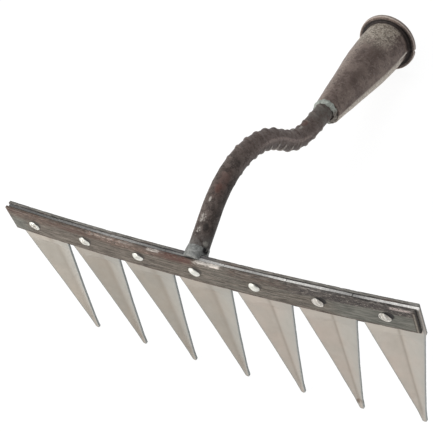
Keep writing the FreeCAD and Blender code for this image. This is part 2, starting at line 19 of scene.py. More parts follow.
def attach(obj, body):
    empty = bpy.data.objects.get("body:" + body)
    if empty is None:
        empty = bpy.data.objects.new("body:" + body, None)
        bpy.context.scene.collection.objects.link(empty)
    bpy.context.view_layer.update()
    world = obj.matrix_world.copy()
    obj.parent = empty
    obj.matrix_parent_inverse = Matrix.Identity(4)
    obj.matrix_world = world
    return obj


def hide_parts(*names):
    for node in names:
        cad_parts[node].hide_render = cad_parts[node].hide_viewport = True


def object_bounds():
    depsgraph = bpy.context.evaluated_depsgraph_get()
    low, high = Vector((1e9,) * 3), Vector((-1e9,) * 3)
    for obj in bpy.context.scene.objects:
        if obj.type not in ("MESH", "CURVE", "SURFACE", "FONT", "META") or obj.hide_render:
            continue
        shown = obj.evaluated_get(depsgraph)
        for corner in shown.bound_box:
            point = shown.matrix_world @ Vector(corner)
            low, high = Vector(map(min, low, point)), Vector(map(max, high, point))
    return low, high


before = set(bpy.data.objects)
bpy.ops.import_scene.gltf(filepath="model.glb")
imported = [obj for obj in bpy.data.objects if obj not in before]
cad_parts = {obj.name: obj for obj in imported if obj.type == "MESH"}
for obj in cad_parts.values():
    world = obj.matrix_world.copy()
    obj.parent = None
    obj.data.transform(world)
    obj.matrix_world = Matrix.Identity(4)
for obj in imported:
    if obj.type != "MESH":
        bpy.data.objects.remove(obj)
cad_lo, cad_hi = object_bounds()

# ------------------------------------------------------------------ bar frame
TILT = math.radians(7.35)                  # turn about X between bar and row frames
MOUTH = np.array([0.0, 245.6, -58.66])     # centre of the socket's mouth
BOW_RADIUS = 2268.7                        # of the front strip's front face
BOW_DEPTH = 4.0                            # the middle of the bow lies this far forward of y = 0
BOW_Y = BOW_RADIUS - BOW_DEPTH             # centre of the bow, behind the bar
PITCH = 38.7                               # between rivets, along the front face
STEP = PITCH / BOW_RADIUS                  # the same as an angle
FRONT_THICK, GAP, REAR_THICK = 1.8, 1.65, 2.2
PLACES = range(-3, 4)                      # rivets and blades, left to right
MIDDLE = 4                                 # number of the blade at place 0
HOLE_RADIUS, DRILL_LENGTH = 0.0024, 0.012  # metres


def tilt(vector):
    """Direction in the bar frame to the row frame."""
    vector = np.asarray(vector, float)
    cos, sin = math.cos(TILT), math.sin(TILT)
    out = np.empty_like(vector)
    out[..., 0] = vector[..., 0]
    out[..., 1] = vector[..., 1] * cos + vector[..., 2] * sin
    out[..., 2] = -vector[..., 1] * sin + vector[..., 2] * cos
    return out


def to_row(point):
    """Bar frame in mm to row frame in metres."""
    return tilt(np.asarray(point, float) - MOUTH) / 1000.0


def on_bow(arc, radius, z):
    """Point at an arc length measured on the front face, at a radius about the bow's centre."""
    angle = arc / BOW_RADIUS
    return np.stack([radius * np.sin(angle), BOW_Y - radius * np.cos(angle), z + 0.0 * angle], -1)


def carry_to_bow(local, radius, place):
    """Local points (x across, y back from the radius, z up) to their place on the bow."""
    angle = place * STEP
    cos, sin = math.cos(angle), math.sin(angle)
    x, y, z = local[..., 0], local[..., 1] - radius, local[..., 2]
    return np.stack([x * cos - y * sin, x * sin + y * cos + BOW_Y, z], -1)


# ------------------------------------------------------------ numeric helpers
def lattice(ix, iy, iz, seed):
    """Repeatable value from -1 to 1 for each whole-number cell."""
    n = (ix * 73856093) ^ (iy * 19349663) ^ (iz * 83492791) ^ (seed * 668265263 + 374761393)
    n = (n ^ (n >> 13)) & 0xFFFFFFFF
    n = (n * 1274126177) & 0xFFFFFFFF
    n = (n ^ (n >> 16)) & 0xFFFFFFFF
    n = (n * 2246822519) & 0xFFFFFFFF
    n = n ^ (n >> 13)
    return (n & 0xFFFFFF) / float(0xFFFFFF) * 2.0 - 1.0


def value_noise(points, seed):
    cell = np.floor(points)
    part = points - cell
    cell = cell.astype(np.int64)
    ease = part * part * part * (part * (part * 6 - 15) + 10)
    total = 0.0
    for dx in (0, 1):
        for dy in (0, 1):
            for dz in (0, 1):
                weight = ((ease[..., 0] if dx else 1 - ease[..., 0])
                          * (ease[..., 1] if dy else 1 - ease[..., 1])
                          * (ease[..., 2] if dz else 1 - ease[..., 2]))
                corner = lattice(cell[..., 0] + dx, cell[..., 1] + dy, cell[..., 2] + dz, seed)
                total = total + weight * corner
    return total


def fbm(points, seed, octaves):
    """Layered noise; each octave is 2.03 times finer and half as strong."""
    points = np.asarray(points, float)
    total, strength, whole = 0.0, 1.0, 0.0
    for k in range(octaves):
        layer = value_noise(points * (2.03 ** k) + 17.3 * k, seed + 11 * k)
        total = total + strength * layer
        whole += strength
        strength *= 0.5
    return total / whole


def smooth(value, lo, hi):
    """0 below lo, 1 above hi, smooth between."""
    t = np.clip((np.asarray(value, float) - lo) / (hi - lo), 0, 1)
    return t * t * (3 - 2 * t)


def window(value, start, full, full_end, end):
    """Rises from 0 at start to 1 at full, falls from full_end to 0 at end."""
    return smooth(value, start, full) * (1 - smooth(value, full_end, end))


def bell(value, width):
    return np.exp(-(value / width) ** 2)


def wrap(angle):
    """Angle brought between -pi and pi."""
    return np.angle(np.exp(1j * angle))


# --------------------------------------------------------------- mesh helpers
def add_object(name, data):
    ob = bpy.data.objects.new(name, data)
    bpy.context.scene.collection.objects.link(ob)
    return ob


def register(ob, node_name):
    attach(ob, "root")
    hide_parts(node_name)


def add_point_data(mesh, attributes):
    for name, values in attributes.items():
        values = np.asarray(values, np.float32)
        if values.ndim == 2:
            layer = mesh.attributes.new(name, "FLOAT_VECTOR", "POINT")
            layer.data.foreach_set("vector", values.ravel())
        else:
            layer = mesh.attributes.new(name, "FLOAT", "POINT")
            layer.data.foreach_set("value", values)


def shade_smooth(mesh):
    for polygon in mesh.polygons:
        polygon.use_smooth = True


def loft(rings, attributes, closed):
    """Skin rings x points; open lofts get a fan at each end, closed ones join up."""
    count, size = rings.shape[:2]
    verts = rings.reshape(-1, 3)
    flat = {name: values.reshape(-1, *values.shape[2:]) for name, values in attributes.items()}
    faces = []
    for k in range(count if closed else count - 1):
        here, after = k * size, (k + 1) % count * size
        for j in range(size):
            j2 = (j + 1) % size
            faces.append((here + j, here + j2, after + j2, after + j))
    for k in () if closed else (0, count - 1):
        hub = len(verts)
        verts = np.vstack([verts, rings[k].mean(0)[None]])
        for name, values in attributes.items():
            flat[name] = np.concatenate([flat[name], values[k].mean(0)[None]])
        for j in range(size):
            faces.append((hub, k * size + j, k * size + (j + 1) % size))
    return verts, faces, flat


def build(name, rings, attributes, node_name, material, sharp, closed=False):
    """Lofted object from rings in the bar frame; edges over `sharp` degrees stay crisp."""
    verts, faces, flat = loft(rings, attributes, closed)
    mesh = bpy.data.meshes.new(name)
    mesh.from_pydata([tuple(p) for p in to_row(verts)], [], faces)
    mesh.validate(verbose=False)
    add_point_data(mesh, flat)
    bm = bmesh.new()
    bm.from_mesh(mesh)
    bmesh.ops.recalc_face_normals(bm, faces=bm.faces)
    bm.to_mesh(mesh)
    bm.free()
    shade_smooth(mesh)
    mesh.set_sharp_from_angle(angle=math.radians(sharp))
    mesh.materials.append(material)
    ob = add_object(name, mesh)
    register(ob, node_name)
    return ob


def bake_modifiers(ob, keep_layers=False):
    """Replace the object's mesh by its modified one."""
    bpy.context.view_layer.update()
    graph = bpy.context.evaluated_depsgraph_get()
    mesh = bpy.data.meshes.new_from_object(
        ob.evaluated_get(graph), preserve_all_data_layers=keep_layers, depsgraph=graph)
    ob.modifiers.clear()
    ob.data = mesh


def drill_rivet_holes(ob, places, radius):
    """Cut the rivet holes; radius is that of the middle of the plate."""
    bm = bmesh.new()
    for place in places:
        point = to_row(on_bow(np.array(place * PITCH), radius, 0.0))
        angle = place * STEP
        axis = Vector(tilt([math.sin(angle), -math.cos(angle), 0.0]))
        pose = Matrix.Translation(Vector(point)) @ axis.to_track_quat("Z", "Y").to_matrix().to_4x4()
        bmesh.ops.create_cone(bm, cap_ends=True, segments=40, radius1=HOLE_RADIUS,
                              radius2=HOLE_RADIUS, depth=DRILL_LENGTH, matrix=pose)
    mesh = bpy.data.meshes.new(ob.name + "_drill")
    bm.to_mesh(mesh)
    bm.free()
    tool = add_object(ob.name + "_drill", mesh)
    cut = ob.modifiers.new("holes", "BOOLEAN")
    cut.operation = "DIFFERENCE"
    cut.solver = "EXACT"
    cut.object = tool
    bake_modifiers(ob, keep_layers=True)
    bpy.data.objects.remove(tool)


# -------------------------------------------------------------- shader helpers
# Colours with three parts are sRGB, 0 to 255; colours with four are linear.
def linear(colour):
    def channel(c):
        c = c / 255.0
        return c / 12.92 if c <= 0.04045 else ((c + 0.055) / 1.055) ** 2.4
    return (*(channel(c) for c in colour), 1.0)


def blank_tree(owner):
    """Node tree of a material or world, emptied."""
    owner.use_nodes = True
    owner.node_tree.nodes.clear()
    return owner.node_tree


def node(tree, kind, inputs=None, **settings):
    """Add a node; inputs maps socket names or numbers to values, sockets or Fields."""
    made = tree.nodes.new("ShaderNode" + kind)
    for name, setting in settings.items():
        setattr(made, name, setting)
    for key, value in (inputs or {}).items():
        value = getattr(value, "socket", value)
        target = made.inputs[key]
        if isinstance(value, bpy.types.NodeSocket):
            tree.links.new(value, target)
        elif target.type == "RGBA" and len(value) == 3:
            target.default_value = linear(value)
        else:
            target.default_value = value
    return made


def smooth_range(tree, value, lo, hi, low, high):
    """Socket going smoothly from low, at value lo, to high, at value hi."""
    made = node(tree, "MapRange", {"Value": value, "From Min": lo, "From Max": hi,
                                   "To Min": low, "To Max": high},
                interpolation_type="SMOOTHSTEP")
    return made.outputs["Result"]


class Field:
    """A shader value; arithmetic and the methods below add nodes that work on it."""

    def __init__(self, tree, socket):
        self.tree = tree
        self.socket = socket

    def feed(self, kind, inputs, output=0, **settings):
        return Field(self.tree, node(self.tree, kind, inputs, **settings).outputs[output])

    def math(self, operation, first, second=0.0):
        return self.feed("Math", {0: first, 1: second}, operation=operation)

    def __add__(self, other):
        return self.math("ADD", self, other)

    def __sub__(self, other):
        return self.math("SUBTRACT", self, other)

    def __rsub__(self, other):
        return self.math("SUBTRACT", other, self)

    def __mul__(self, other):
        return self.math("MULTIPLY", self, other)

    def __truediv__(self, other):
        return self.math("DIVIDE", self, other)

    def max(self, other):
        return self.math("MAXIMUM", self, other)

    def apply(self, operation):
        """One-sided operation such as SQRT."""
        return self.math(operation, self)

    def ramp(self, lo, hi, low=0.0, high=1.0):
        """Smooth change from low, where the value is lo, to high, where it is hi."""
        if lo > hi:
            lo, hi, low, high = hi, lo, high, low
        return Field(self.tree, smooth_range(self.tree, self, lo, hi, low, high))

    def band(self, start, full, full_end, end):
        """0 up to start, 1 from full to full_end, 0 after end."""
        return self.ramp(start, full) * self.ramp(end, full_end)

    def tint(self, first, second):
        """Colour going from first, at 0, to second, at 1."""
        return self.feed("Mix", {0: self, 6: first, 7: second}, 2,
                         data_type="RGBA", clamp_factor=True)

    def blend(self, first, second):
        """Number going from first, at 0, to second, at 1."""
        return self.feed("Mix", {0: self, 2: first, 3: second}, data_type="FLOAT",
                         clamp_factor=True)

    def split(self):
        made = node(self.tree, "SeparateXYZ", {0: self})
        return [Field(self.tree, made.outputs[i]) for i in range(3)]

    def mapped(self, scale, offset):
        return self.feed("Mapping", {"Vector": self, "Scale": scale, "Location": offset})

    def noise(self, scale, detail, roughness, distortion=0.0, offset=(0, 0, 0)):
        """Noise around 0.5; scale is in features per mm along each axis."""
        return self.feed("TexNoise", {"Vector": self.mapped(scale, offset), "Scale": 1.0,
                                      "Detail": detail, "Roughness": roughness,
                                      "Distortion": distortion}, noise_dimensions="3D")

    def cells(self, scale, offset):
        """Distance from scattered points, in cells; scale is in cells per mm."""
        return self.feed("TexVoronoi", {"Vector": self.mapped(scale, offset), "Scale": 1.0},
                         "Distance")

    def bump(self, distance, strength, under=None):
        """Normal from this height; distance in mm, under is a normal to build on."""
        inputs = {"Strength": strength, "Distance": distance / 1000.0, "Height": self}
        if under is not None:
            inputs["Normal"] = under
        return self.feed("Bump", inputs)


class Material:
    """A Principled material painted in coats, each laid over the last through a mask."""

    def __init__(self, name):
        self.block = bpy.data.materials.new(name)
        self.tree = blank_tree(self.block)
        self.colour = None

    def value(self, name, output="Fac"):
        made = node(self.tree, "Attribute", attribute_name=name)
        return Field(self.tree, made.outputs[output])

    def vector(self, name):
        return self.value(name, "Vector")

    def join(self, x, y, z):
        return Field(self.tree, node(self.tree, "CombineXYZ", {0: x, 1: y, 2: z}).outputs[0])

    def coat(self, colour, mask):
        made = node(self.tree, "Mix", {0: mask, 6: self.colour, 7: colour},
                    data_type="RGBA", clamp_factor=True)
        self.colour = Field(self.tree, made.outputs[2])

    def finish(self, metallic, roughness, normal, specular=0.5):
        surface = node(self.tree, "BsdfPrincipled", {
            "Base Color": self.colour, "Metallic": metallic, "Roughness": roughness,
            "Specular IOR Level": specular, "Normal": normal})
        node(self.tree, "OutputMaterial", {0: surface.outputs[0]})
        return self.block


def spot(x, y, centre, radii, core=0.5):
    """1 inside the core share of an ellipse, fading to 0 at its edge."""
    across = (x - centre[0]) / radii[0]
    up = (y - centre[1]) / radii[1]
    return (across * across + up * up).apply("SQRT").ramp(1.0, core)


# ------------------------------------------------------------------ materials
# Noise arguments run: scale per mm, detail, roughness, distortion, offset.
# A factor after a mask is the strength of the coat.
def strip_material(name, front):
    mat = Material(name)
    place = mat.vector("bar")                  # along the bow, depth, height
    flow = place.noise((0.020, 0.25, 0.36), 4, 0.6, 0.5, (3.1, 0, 0 if front else 9.0))
    broad = place.noise((0.034, 0.5, 0.78), 5, 0.66, 0.3, (11.7, 0, 4.2))
    streak = place.noise((0.085, 0.9, 0.78), 5, 0.66, 0.3, (7.7, 0, 2.2))
    hair = place.noise((0.20, 2.0, 1.45), 4, 0.70, 0.2, (1.3, 4, 8.0))
    grit = place.noise((0.85, 1.2, 1.25), 4, 0.75, 0.1, (2, 2, 2))
    mat.colour = broad.ramp(0.38, 0.62).tint((76, 69, 61), (106, 98, 88))
    for source, start, full, strength, colour in (
            (flow, 0.46, 0.62, 0.45, (98, 96, 89)),
            (streak, 0.53, 0.63, 0.60, (134, 124, 113)),
            (streak, 0.47, 0.38, 0.78, (44, 37, 32)),
            (hair, 0.54, 0.66, 0.55, (148, 139, 128)),
            (hair, 0.45, 0.34, 0.62, (46, 39, 34)),
            (grit, 0.57, 0.68, 0.35, (148, 139, 129)),
            (grit, 0.42, 0.32, 0.35, (48, 41, 36))):
        mat.coat(colour, source.ramp(start, full) * strength)
    roughness = streak.ramp(0.35, 0.7).blend(0.70, 0.56)
    metallic, specular = 0.22, 0.4
    worn = mat.value("worn")
    if front:
        paint_front_strip(mat, place, flow, streak, hair, grit)
    else:
        dull = paint_rear_strip(mat, place, hair)
        roughness = dull.blend(roughness, 0.9)
        metallic = dull.blend(metallic, 0.0)
        specular = dull.blend(specular, 0.08)
        worn = worn * (1.0 - dull)
    mat.coat((196, 190, 183), worn)
    mat.coat((30, 26, 24), mat.value("shade"))
    pits = place.cells((0.55, 0.8, 0.8), (3, 1, 4))
    height = streak * 0.8 + hair * 0.4 + pits.ramp(0.0, 0.28) * 0.3 + grit * 0.35
    return mat.finish(metallic=worn.blend(metallic, 0.6), roughness=worn.blend(roughness, 0.42),
                      normal=height.bump(distance=0.13, strength=0.7), specular=specular)


def paint_front_strip(mat, place, flow, streak, hair, grit):
    x, _, z = place.split()
    edge = z + (place.noise((0.05, 1, 0.2), 4, 0.6) - 0.5) * 7.0    # ragged height
    grain = place.noise((0.14, 1.0, 0.95), 5, 0.72, 0.5, (0, 3, 5))
    flake = place.noise((0.42, 1.5, 1.3), 4, 0.74, 0.3, (6, 3, 1))

    def patch(x_band, z_band, source, start, full):
        return x.band(*x_band) * z.band(*z_band) * source.ramp(start, full)

    # brown scale along the upper third, left of the neck
    left = x.ramp(8.0, -4.0)
    rust = edge.ramp(3.2, 6.4) * left
    mat.coat((88, 74, 62), x.ramp(40.0, -30.0) * flow.ramp(0.36, 0.60) * 0.35)
    brown = grain.ramp(0.40, 0.60).tint((64, 49, 41), (104, 87, 75))
    brown = (hair.ramp(0.54, 0.64) * 0.5).tint(brown, (140, 120, 108))
    mat.coat(brown, rust * grain.ramp(0.26, 0.5, 0.45, 0.85))
    # thin dark red lines and pale flakes in it
    line = place.noise((0.030, 1, 0.95), 4, 0.6, 0.2, (4, 4, 6)).ramp(0.53, 0.58)
    mat.coat((66, 38, 30), line * edge.ramp(4.0, 6.5) * left * 0.75)
    upper = patch((-78.0, -70.0, -46.0, -38.0), (7.9, 8.9, 10.6, 11.2), flake, 0.50, 0.60)
    lower = patch((-66.0, -58.0, -30.0, -22.0), (5.6, 6.6, 7.6, 8.6), flake, 0.52, 0.60)
    mat.coat((172, 148, 136), upper.max(lower) * 0.75)
    small = patch((-30.0, -28.0, -22.0, -18.0), (8.9, 9.5, 10.6, 11.4), flake, 0.51, 0.58)
    mat.coat((206, 192, 182), small * 0.9)
    # burnt red-brown patch just left of the neck
    burnt = x.band(-30.0, -12.0, -1.0, 3.0) * z.ramp(5.0, 8.5) * flake.ramp(0.40, 0.52)
    mat.coat((82, 44, 34), burnt * 0.8)
    # rubbed pale streaks beside the neck, and one further right:
    # x band, z band, flake start and full, strength, colour
    for x_band, z_band, start, full, strength, colour in (
            ((0.5, 3.0, 15.0, 23.0), (8.2, 9.2, 10.8, 11.6), 0.46, 0.54, 0.75, (208, 199, 190)),
            ((12.0, 14.0, 17.5, 19.5), (8.5, 9.2, 10.6, 11.4), 0.34, 0.46, 0.9, (228, 218, 209)),
            ((-3.0, 2.0, 12.0, 20.0), (6.0, 7.0, 7.8, 8.8), 0.50, 0.58, 0.5, (170, 158, 148)),
            ((64.0, 68.0, 74.0, 82.0), (8.6, 9.6, 10.8, 11.4), 0.47, 0.56, 0.8, (190, 176, 166))):
        mat.coat(colour, patch(x_band, z_band, flake, start, full) * strength)
    # dull red tint in the upper part right of the neck
    red = x.band(18.0, 28.0, 66.0, 84.0) * edge.ramp(3.4, 6.0) * grain.ramp(0.42, 0.54)
    mat.coat(hair.ramp(0.42, 0.58).tint((50, 38, 33), (96, 76, 66)), red * 0.70)
    # cool plate low on the right third and at the left end
    cool = (x.ramp(78.0, 94.0) * edge.ramp(5.4, 3.6)).max(x.ramp(-118.0, -128.0) * z.ramp(5.0, 0.0))
    plate = streak.ramp(0.35, 0.65).tint((84, 84, 78), (112, 112, 104))
    plate = (hair.ramp(0.45, 0.36) * 0.5).tint(plate, (66, 62, 55))
    mat.coat(plate, cool * 0.80)
    # torn dark scale above it
    torn = (x + (flow - 0.5) * 40.0).ramp(50.0, 76.0) * (edge + (flake - 0.5) * 5.0).ramp(3.8, 4.8)
    scale = grain.ramp(0.42, 0.58).tint((36, 31, 30), (74, 67, 63))
    scale = (flake.ramp(0.55, 0.62) * 0.8).tint(scale, (150, 141, 133))
    mat.coat(scale, torn * 0.92)
    pale_end = patch((119.0, 121.0, 130.0, 132.5), (7.6, 8.6, 9.8, 10.4), grit, 0.40, 0.52)
    mat.coat((186, 172, 166), pale_end * 0.85)
    # brown line along the lower edge, burr by the right-hand end
    mat.coat((74, 58, 48), (z + (flake - 0.5) * 2.6).ramp(-7.8, -8.8) * 0.75)
    # painted shade: near-black right at the bottom edge, where the strip meets the blades
    mat.coat((42, 34, 29), z.ramp(-9.3, -9.9) * 0.9)
    mat.coat((64, 54, 47), x.ramp(131.4, 132.2) * z.ramp(9.2, 8.4) * 0.75)
    burr = x.band(132.2, 132.7, 133.2, 133.7) * z.ramp(8.4, 7.4) * grit.ramp(0.36, 0.5)
    mat.coat((150, 142, 130), burr * 0.75)
    # painted shadow: black corner above and to the right of each rivet, cast by its head
    nearest = (x / PITCH).apply("ROUND") * PITCH
    across = x - nearest - 1.9
    up = z - 1.9
    away = (across * across + up * up * 1.15).apply("SQRT")
    soot = (away.ramp(4.0, 2.9) * nearest.apply("ABSOLUTE").ramp(125.0, 118.0)
            * x.ramp(50.0, 72.0, 0.55, 1.0))
    mat.coat((20, 16, 15), soot * 0.95)


def paint_rear_strip(mat, place, hair):
    """Returns the mask of the dull scale at the upper rear arris."""
    x, depth, z = place.split()
    mat.coat((82, 84, 82), 0.45)
    # upper face: paler beside the blades, black towards its rear arris
    face = hair.ramp(0.42, 0.60).tint((96, 93, 88), (150, 146, 139))
    black = hair.ramp(0.40, 0.62).tint((26, 25, 24), (52, 50, 48))
    face = depth.ramp(1.5, 2.4).tint(face, black)
    face = depth.ramp(0.75, 0.35).tint(face, (42, 39, 36))
    mat.coat(face, z.ramp(9.7, 10.1) * 0.9)
    mat.coat((34, 32, 30), z.ramp(8.8, 9.9) * depth.ramp(1.9, 2.1) * 0.8)
    brown = place.noise((0.035, 0.3, 0.16), 4, 0.6, 0.6, (2, 2, 8)).ramp(0.52, 0.66)
    mat.coat((98, 76, 66), brown * 0.45)
    # heat tint round the neck's weld, pale right-hand end
    from_weld = (x * x + z * z).apply("SQRT")
    mat.coat((56, 56, 66), from_weld.ramp(26.0, 9.0) * 0.55)
    mat.coat((150, 148, 144), x.ramp(128.0, 133.0) * 0.6)
    return z.ramp(8.8, 9.9) * depth.ramp(1.3, 1.8)


def blade_material():
    mat = Material("blade_spring_steel")
    x, side, z = mat.vector("bar").split()
    number = mat.value("blade")
    place = mat.join(x + number * 53.0, side, z)    # moved on, so that no two blades match
    cloud = place.noise((0.045, 0.1, 0.03), 4, 0.55, 0.6)
    patch = place.noise((0.16, 0.3, 0.12), 5, 0.6, 0.3, (4, 7, 1))
    brush = place.noise((2.6, 1.0, 0.09), 3, 0.6, 0.0, (1, 1, 1))
    fine = place.noise((6.5, 4.0, 1.6), 3, 0.7)
    warm = number.ramp(3.4, 5.2)                    # the blades on the right are warmer
    mat.colour = cloud.ramp(0.36, 0.64).tint(warm.tint((184, 175, 163), (190, 178, 167)),
                                             warm.tint((178, 172, 162), (184, 176, 166)))
    mat.coat((166, 156, 145), patch.ramp(0.5, 0.74) * 0.16)
    mat.coat((200, 196, 188), patch.ramp(0.46, 0.30) * 0.12)
    mat.coat((158, 152, 143), brush.ramp(0.55, 0.75) * 0.18)
    mat.coat((96, 88, 78), mat.value("dim"))
    # painted light: the right-hand facet tinted cooler and greyer than the left
    mat.coat((160, 161, 156), mat.value("facet") * 0.50)
    # painted shade along the fold's crease
    mat.coat((126, 117, 106), mat.value("crease") * 0.48)
    # painted shade in the corner under the strip
    uneven = place.noise((0.2, 1, 0.4), 3, 0.6).ramp(0.3, 0.6, 0.45, 1.0)
    mat.coat((120, 106, 94), z.ramp(-12.2, -10.0) * uneven * 0.35)
    # thin cool line along the sheared outline; the sheared faces are darkened as painted shade
    mat.coat((132, 140, 142), mat.value("rim") * 0.55)
    sheared = mat.value("sheared")
    tear = place.noise((0.6, 3.0, 3.0), 3, 0.6)
    mat.coat(tear.ramp(0.35, 0.65).tint((112, 117, 117), (154, 158, 156)), sheared * 0.92)
    # upper edges, brighter and darker along the bar: rubbed wear with painted reflection, and
    # painted shadow beside the neck
    top = mat.value("top")
    hatch = place.noise((0.9, 0.6, 0.2), 4, 0.7, 0.3, (8, 2, 5))
    tone = mat.value("tone") * hatch.ramp(0.34, 0.66, 0.78, 1.15)
    mat.coat(mat.join(tone, tone * 0.97, tone * 0.93), top)
    mat.coat((104, 84, 68), mat.value("stain") * patch.ramp(0.36, 0.56))
    roughness = sheared.blend(patch.ramp(0.35, 0.7).blend(0.46, 0.56), 0.62)
    brushed = (brush * 0.6 + fine * 0.4).bump(distance=0.026, strength=0.6)
    waves = place.noise((0.09, 0.2, 0.06), 3, 0.5)
    return mat.finish(metallic=top.blend(sheared.blend(0.55, 0.40), 0.15), roughness=roughness,
                      normal=waves.bump(distance=0.30, strength=0.3, under=brushed))


def rivet_material():
    mat = Material("rivet_steel")
    local = mat.vector("bar")
    number = mat.value("blade")
    x, y, z = local.split()
    place = mat.join(x + number * 31.0, y, z)
    mottle = place.noise((0.55, 0.55, 0.55), 4, 0.6, 0.4)
    fine = place.noise((2.4, 2.4, 2.4), 4, 0.65)
    mat.colour = mottle.ramp(0.38, 0.62).tint((206, 206, 198), (226, 225, 218))
    mat.coat((172, 168, 160), fine.ramp(0.54, 0.70) * 0.45)
    mat.coat((178, 164, 156), number.ramp(5.4, 6.0) * fine.ramp(0.40, 0.6) * 0.65)
    mat.coat((112, 92, 76), mat.value("dent") * 0.85)
    # painted shade below each head's rim and on its upper right flank
    foot = mat.value("foot")
    mat.coat((24, 20, 18), foot * 0.97)
    height = fine * 0.6 + mottle * 0.6
    return mat.finish(metallic=foot.blend(0.35, 0.1),
                      roughness=fine.ramp(0.4, 0.7).blend(0.34, 0.5),
                      normal=height.bump(distance=0.22, strength=0.6))


def neck_material():
    mat = Material("neck_rebar_scale")
    # along the rod, arc round it (0 at the right, positive over the top), rib height
    along, around, proud = mat.vector("bar").split()
    place = mat.vector("pos")
    mottle = place.noise((0.22, 0.22, 0.22), 6, 0.68, 0.5)
    blot = place.noise((0.85, 0.85, 0.85), 5, 0.68, 0.2, (3, 5, 7))
    fine = place.noise((3.0, 3.0, 3.0), 3, 0.7)

    def mark(centre, radii, core=0.5):
        return spot(along, around, centre, radii, core)

    mat.colour = mottle.ramp(0.38, 0.62).tint((66, 56, 52), (100, 88, 82))
    mat.coat((108, 92, 86), along.ramp(52.0, 76.0) * 0.50)
    mat.coat((132, 122, 114), blot.ramp(0.55, 0.68) * 0.65)
    mat.coat((40, 33, 31), blot.ramp(0.45, 0.34) * 0.75)
    mat.coat((134, 122, 114), fine.ramp(0.54, 0.68) * 0.42)
    # darker on the right-hand side, below the first bend
    mat.coat((56, 50, 47), around.band(-9.0, -4.5, 1.0, 5.0) * along.ramp(60.0, 42.0) * 0.5)
    # dull rust: a blush on the lower straight, a few patches
    mat.coat((104, 76, 68), mark((43.0, 7.2), (13.0, 5.5), 0.3) * mottle.ramp(0.34, 0.58) * 0.60)
    patch = mark((39.5, 7.6), (3.6, 2.4)) * fine.ramp(0.36, 0.5)
    patch = patch.max(mark((148.0, 10.6), (5.2, 3.0)) * fine.ramp(0.36, 0.5))
    mat.coat((98, 66, 57), patch * 0.8)
    mat.coat((62, 42, 36), mark((8.2, 8.6), (2.8, 3.2), 0.4) * blot.ramp(0.36, 0.52) * 0.85)
    # a dark hollow and light scars over the top
    mat.coat((42, 37, 34), mark((16.9, 6.6), (3.2, 2.2)) * 0.75)
    scar = mark((21.5, 10.0), (4.2, 2.4)).max(mark((14.6, 10.2), (2.8, 2.2)))
    scar = scar * blot.ramp(0.46, 0.56)
    scar = scar.max(mark((32.4, 9.7), (1.7, 0.9), 0.7))
    scar = scar.max(mark((140.6, 9.3), (2.2, 1.3)) * 0.9)
    scar = scar.max(mark((132.8, 11.2), (3.4, 1.6)) * blot.ramp(0.4, 0.55))
    mat.coat((176, 170, 163), scar * 0.80)
    # black spot and pale spot at the foot
    mat.coat((18, 15, 14), mark((4.2, 2.9), (2.0, 1.9), 0.6) * 0.97)
    mat.coat((176, 171, 162), mark((7.9, 3.5), (1.9, 2.4), 0.5) * fine.ramp(0.34, 0.5) * 0.85)
    # bare grey near the weld at the foot
    mat.coat((108, 107, 104), along.ramp(15.0, 6.0) * mottle.ramp(0.34, 0.56) * 0.6)
    # rubbed spine rib and rib tops; the underside darker along the ribbed part, with the rib tops
    # there painted brighter as painted bounce light from the floor
    spine = mat.value("spine")
    mat.coat((146, 129, 122), spine * blot.ramp(0.34, 0.56) * 0.70)
    under = around.band(-16.0, -12.0, -3.0, -0.5)
    worn_and_lit = under.tint((126, 113, 106), (164, 155, 147))
    top = proud.ramp(0.26, 0.60).max(under * proud.ramp(0.10, 0.26))
    mat.coat((58, 50, 47), under * along.ramp(54.0, 66.0) * along.ramp(150.0, 138.0) * 0.40)
    mat.coat(worn_and_lit, top * fine.ramp(0.34, 0.58) * under.blend(0.55, 0.9) * (1.0 - spine))
    mat.coat((36, 30, 28), mat.value("root") * 0.75)
    # cool grey-green scale close to the socket's weld
    mat.coat((96, 97, 91), along.ramp(150.0, 166.0) * mottle.ramp(0.38, 0.58) * 0.55)
    height = blot * 0.9 + fine * 0.3
    return mat.finish(metallic=0.28,
                      roughness=top.blend(mottle.ramp(0.4, 0.6).blend(0.68, 0.54), 0.50),
                      normal=height.bump(distance=0.34, strength=0.85), specular=0.42)


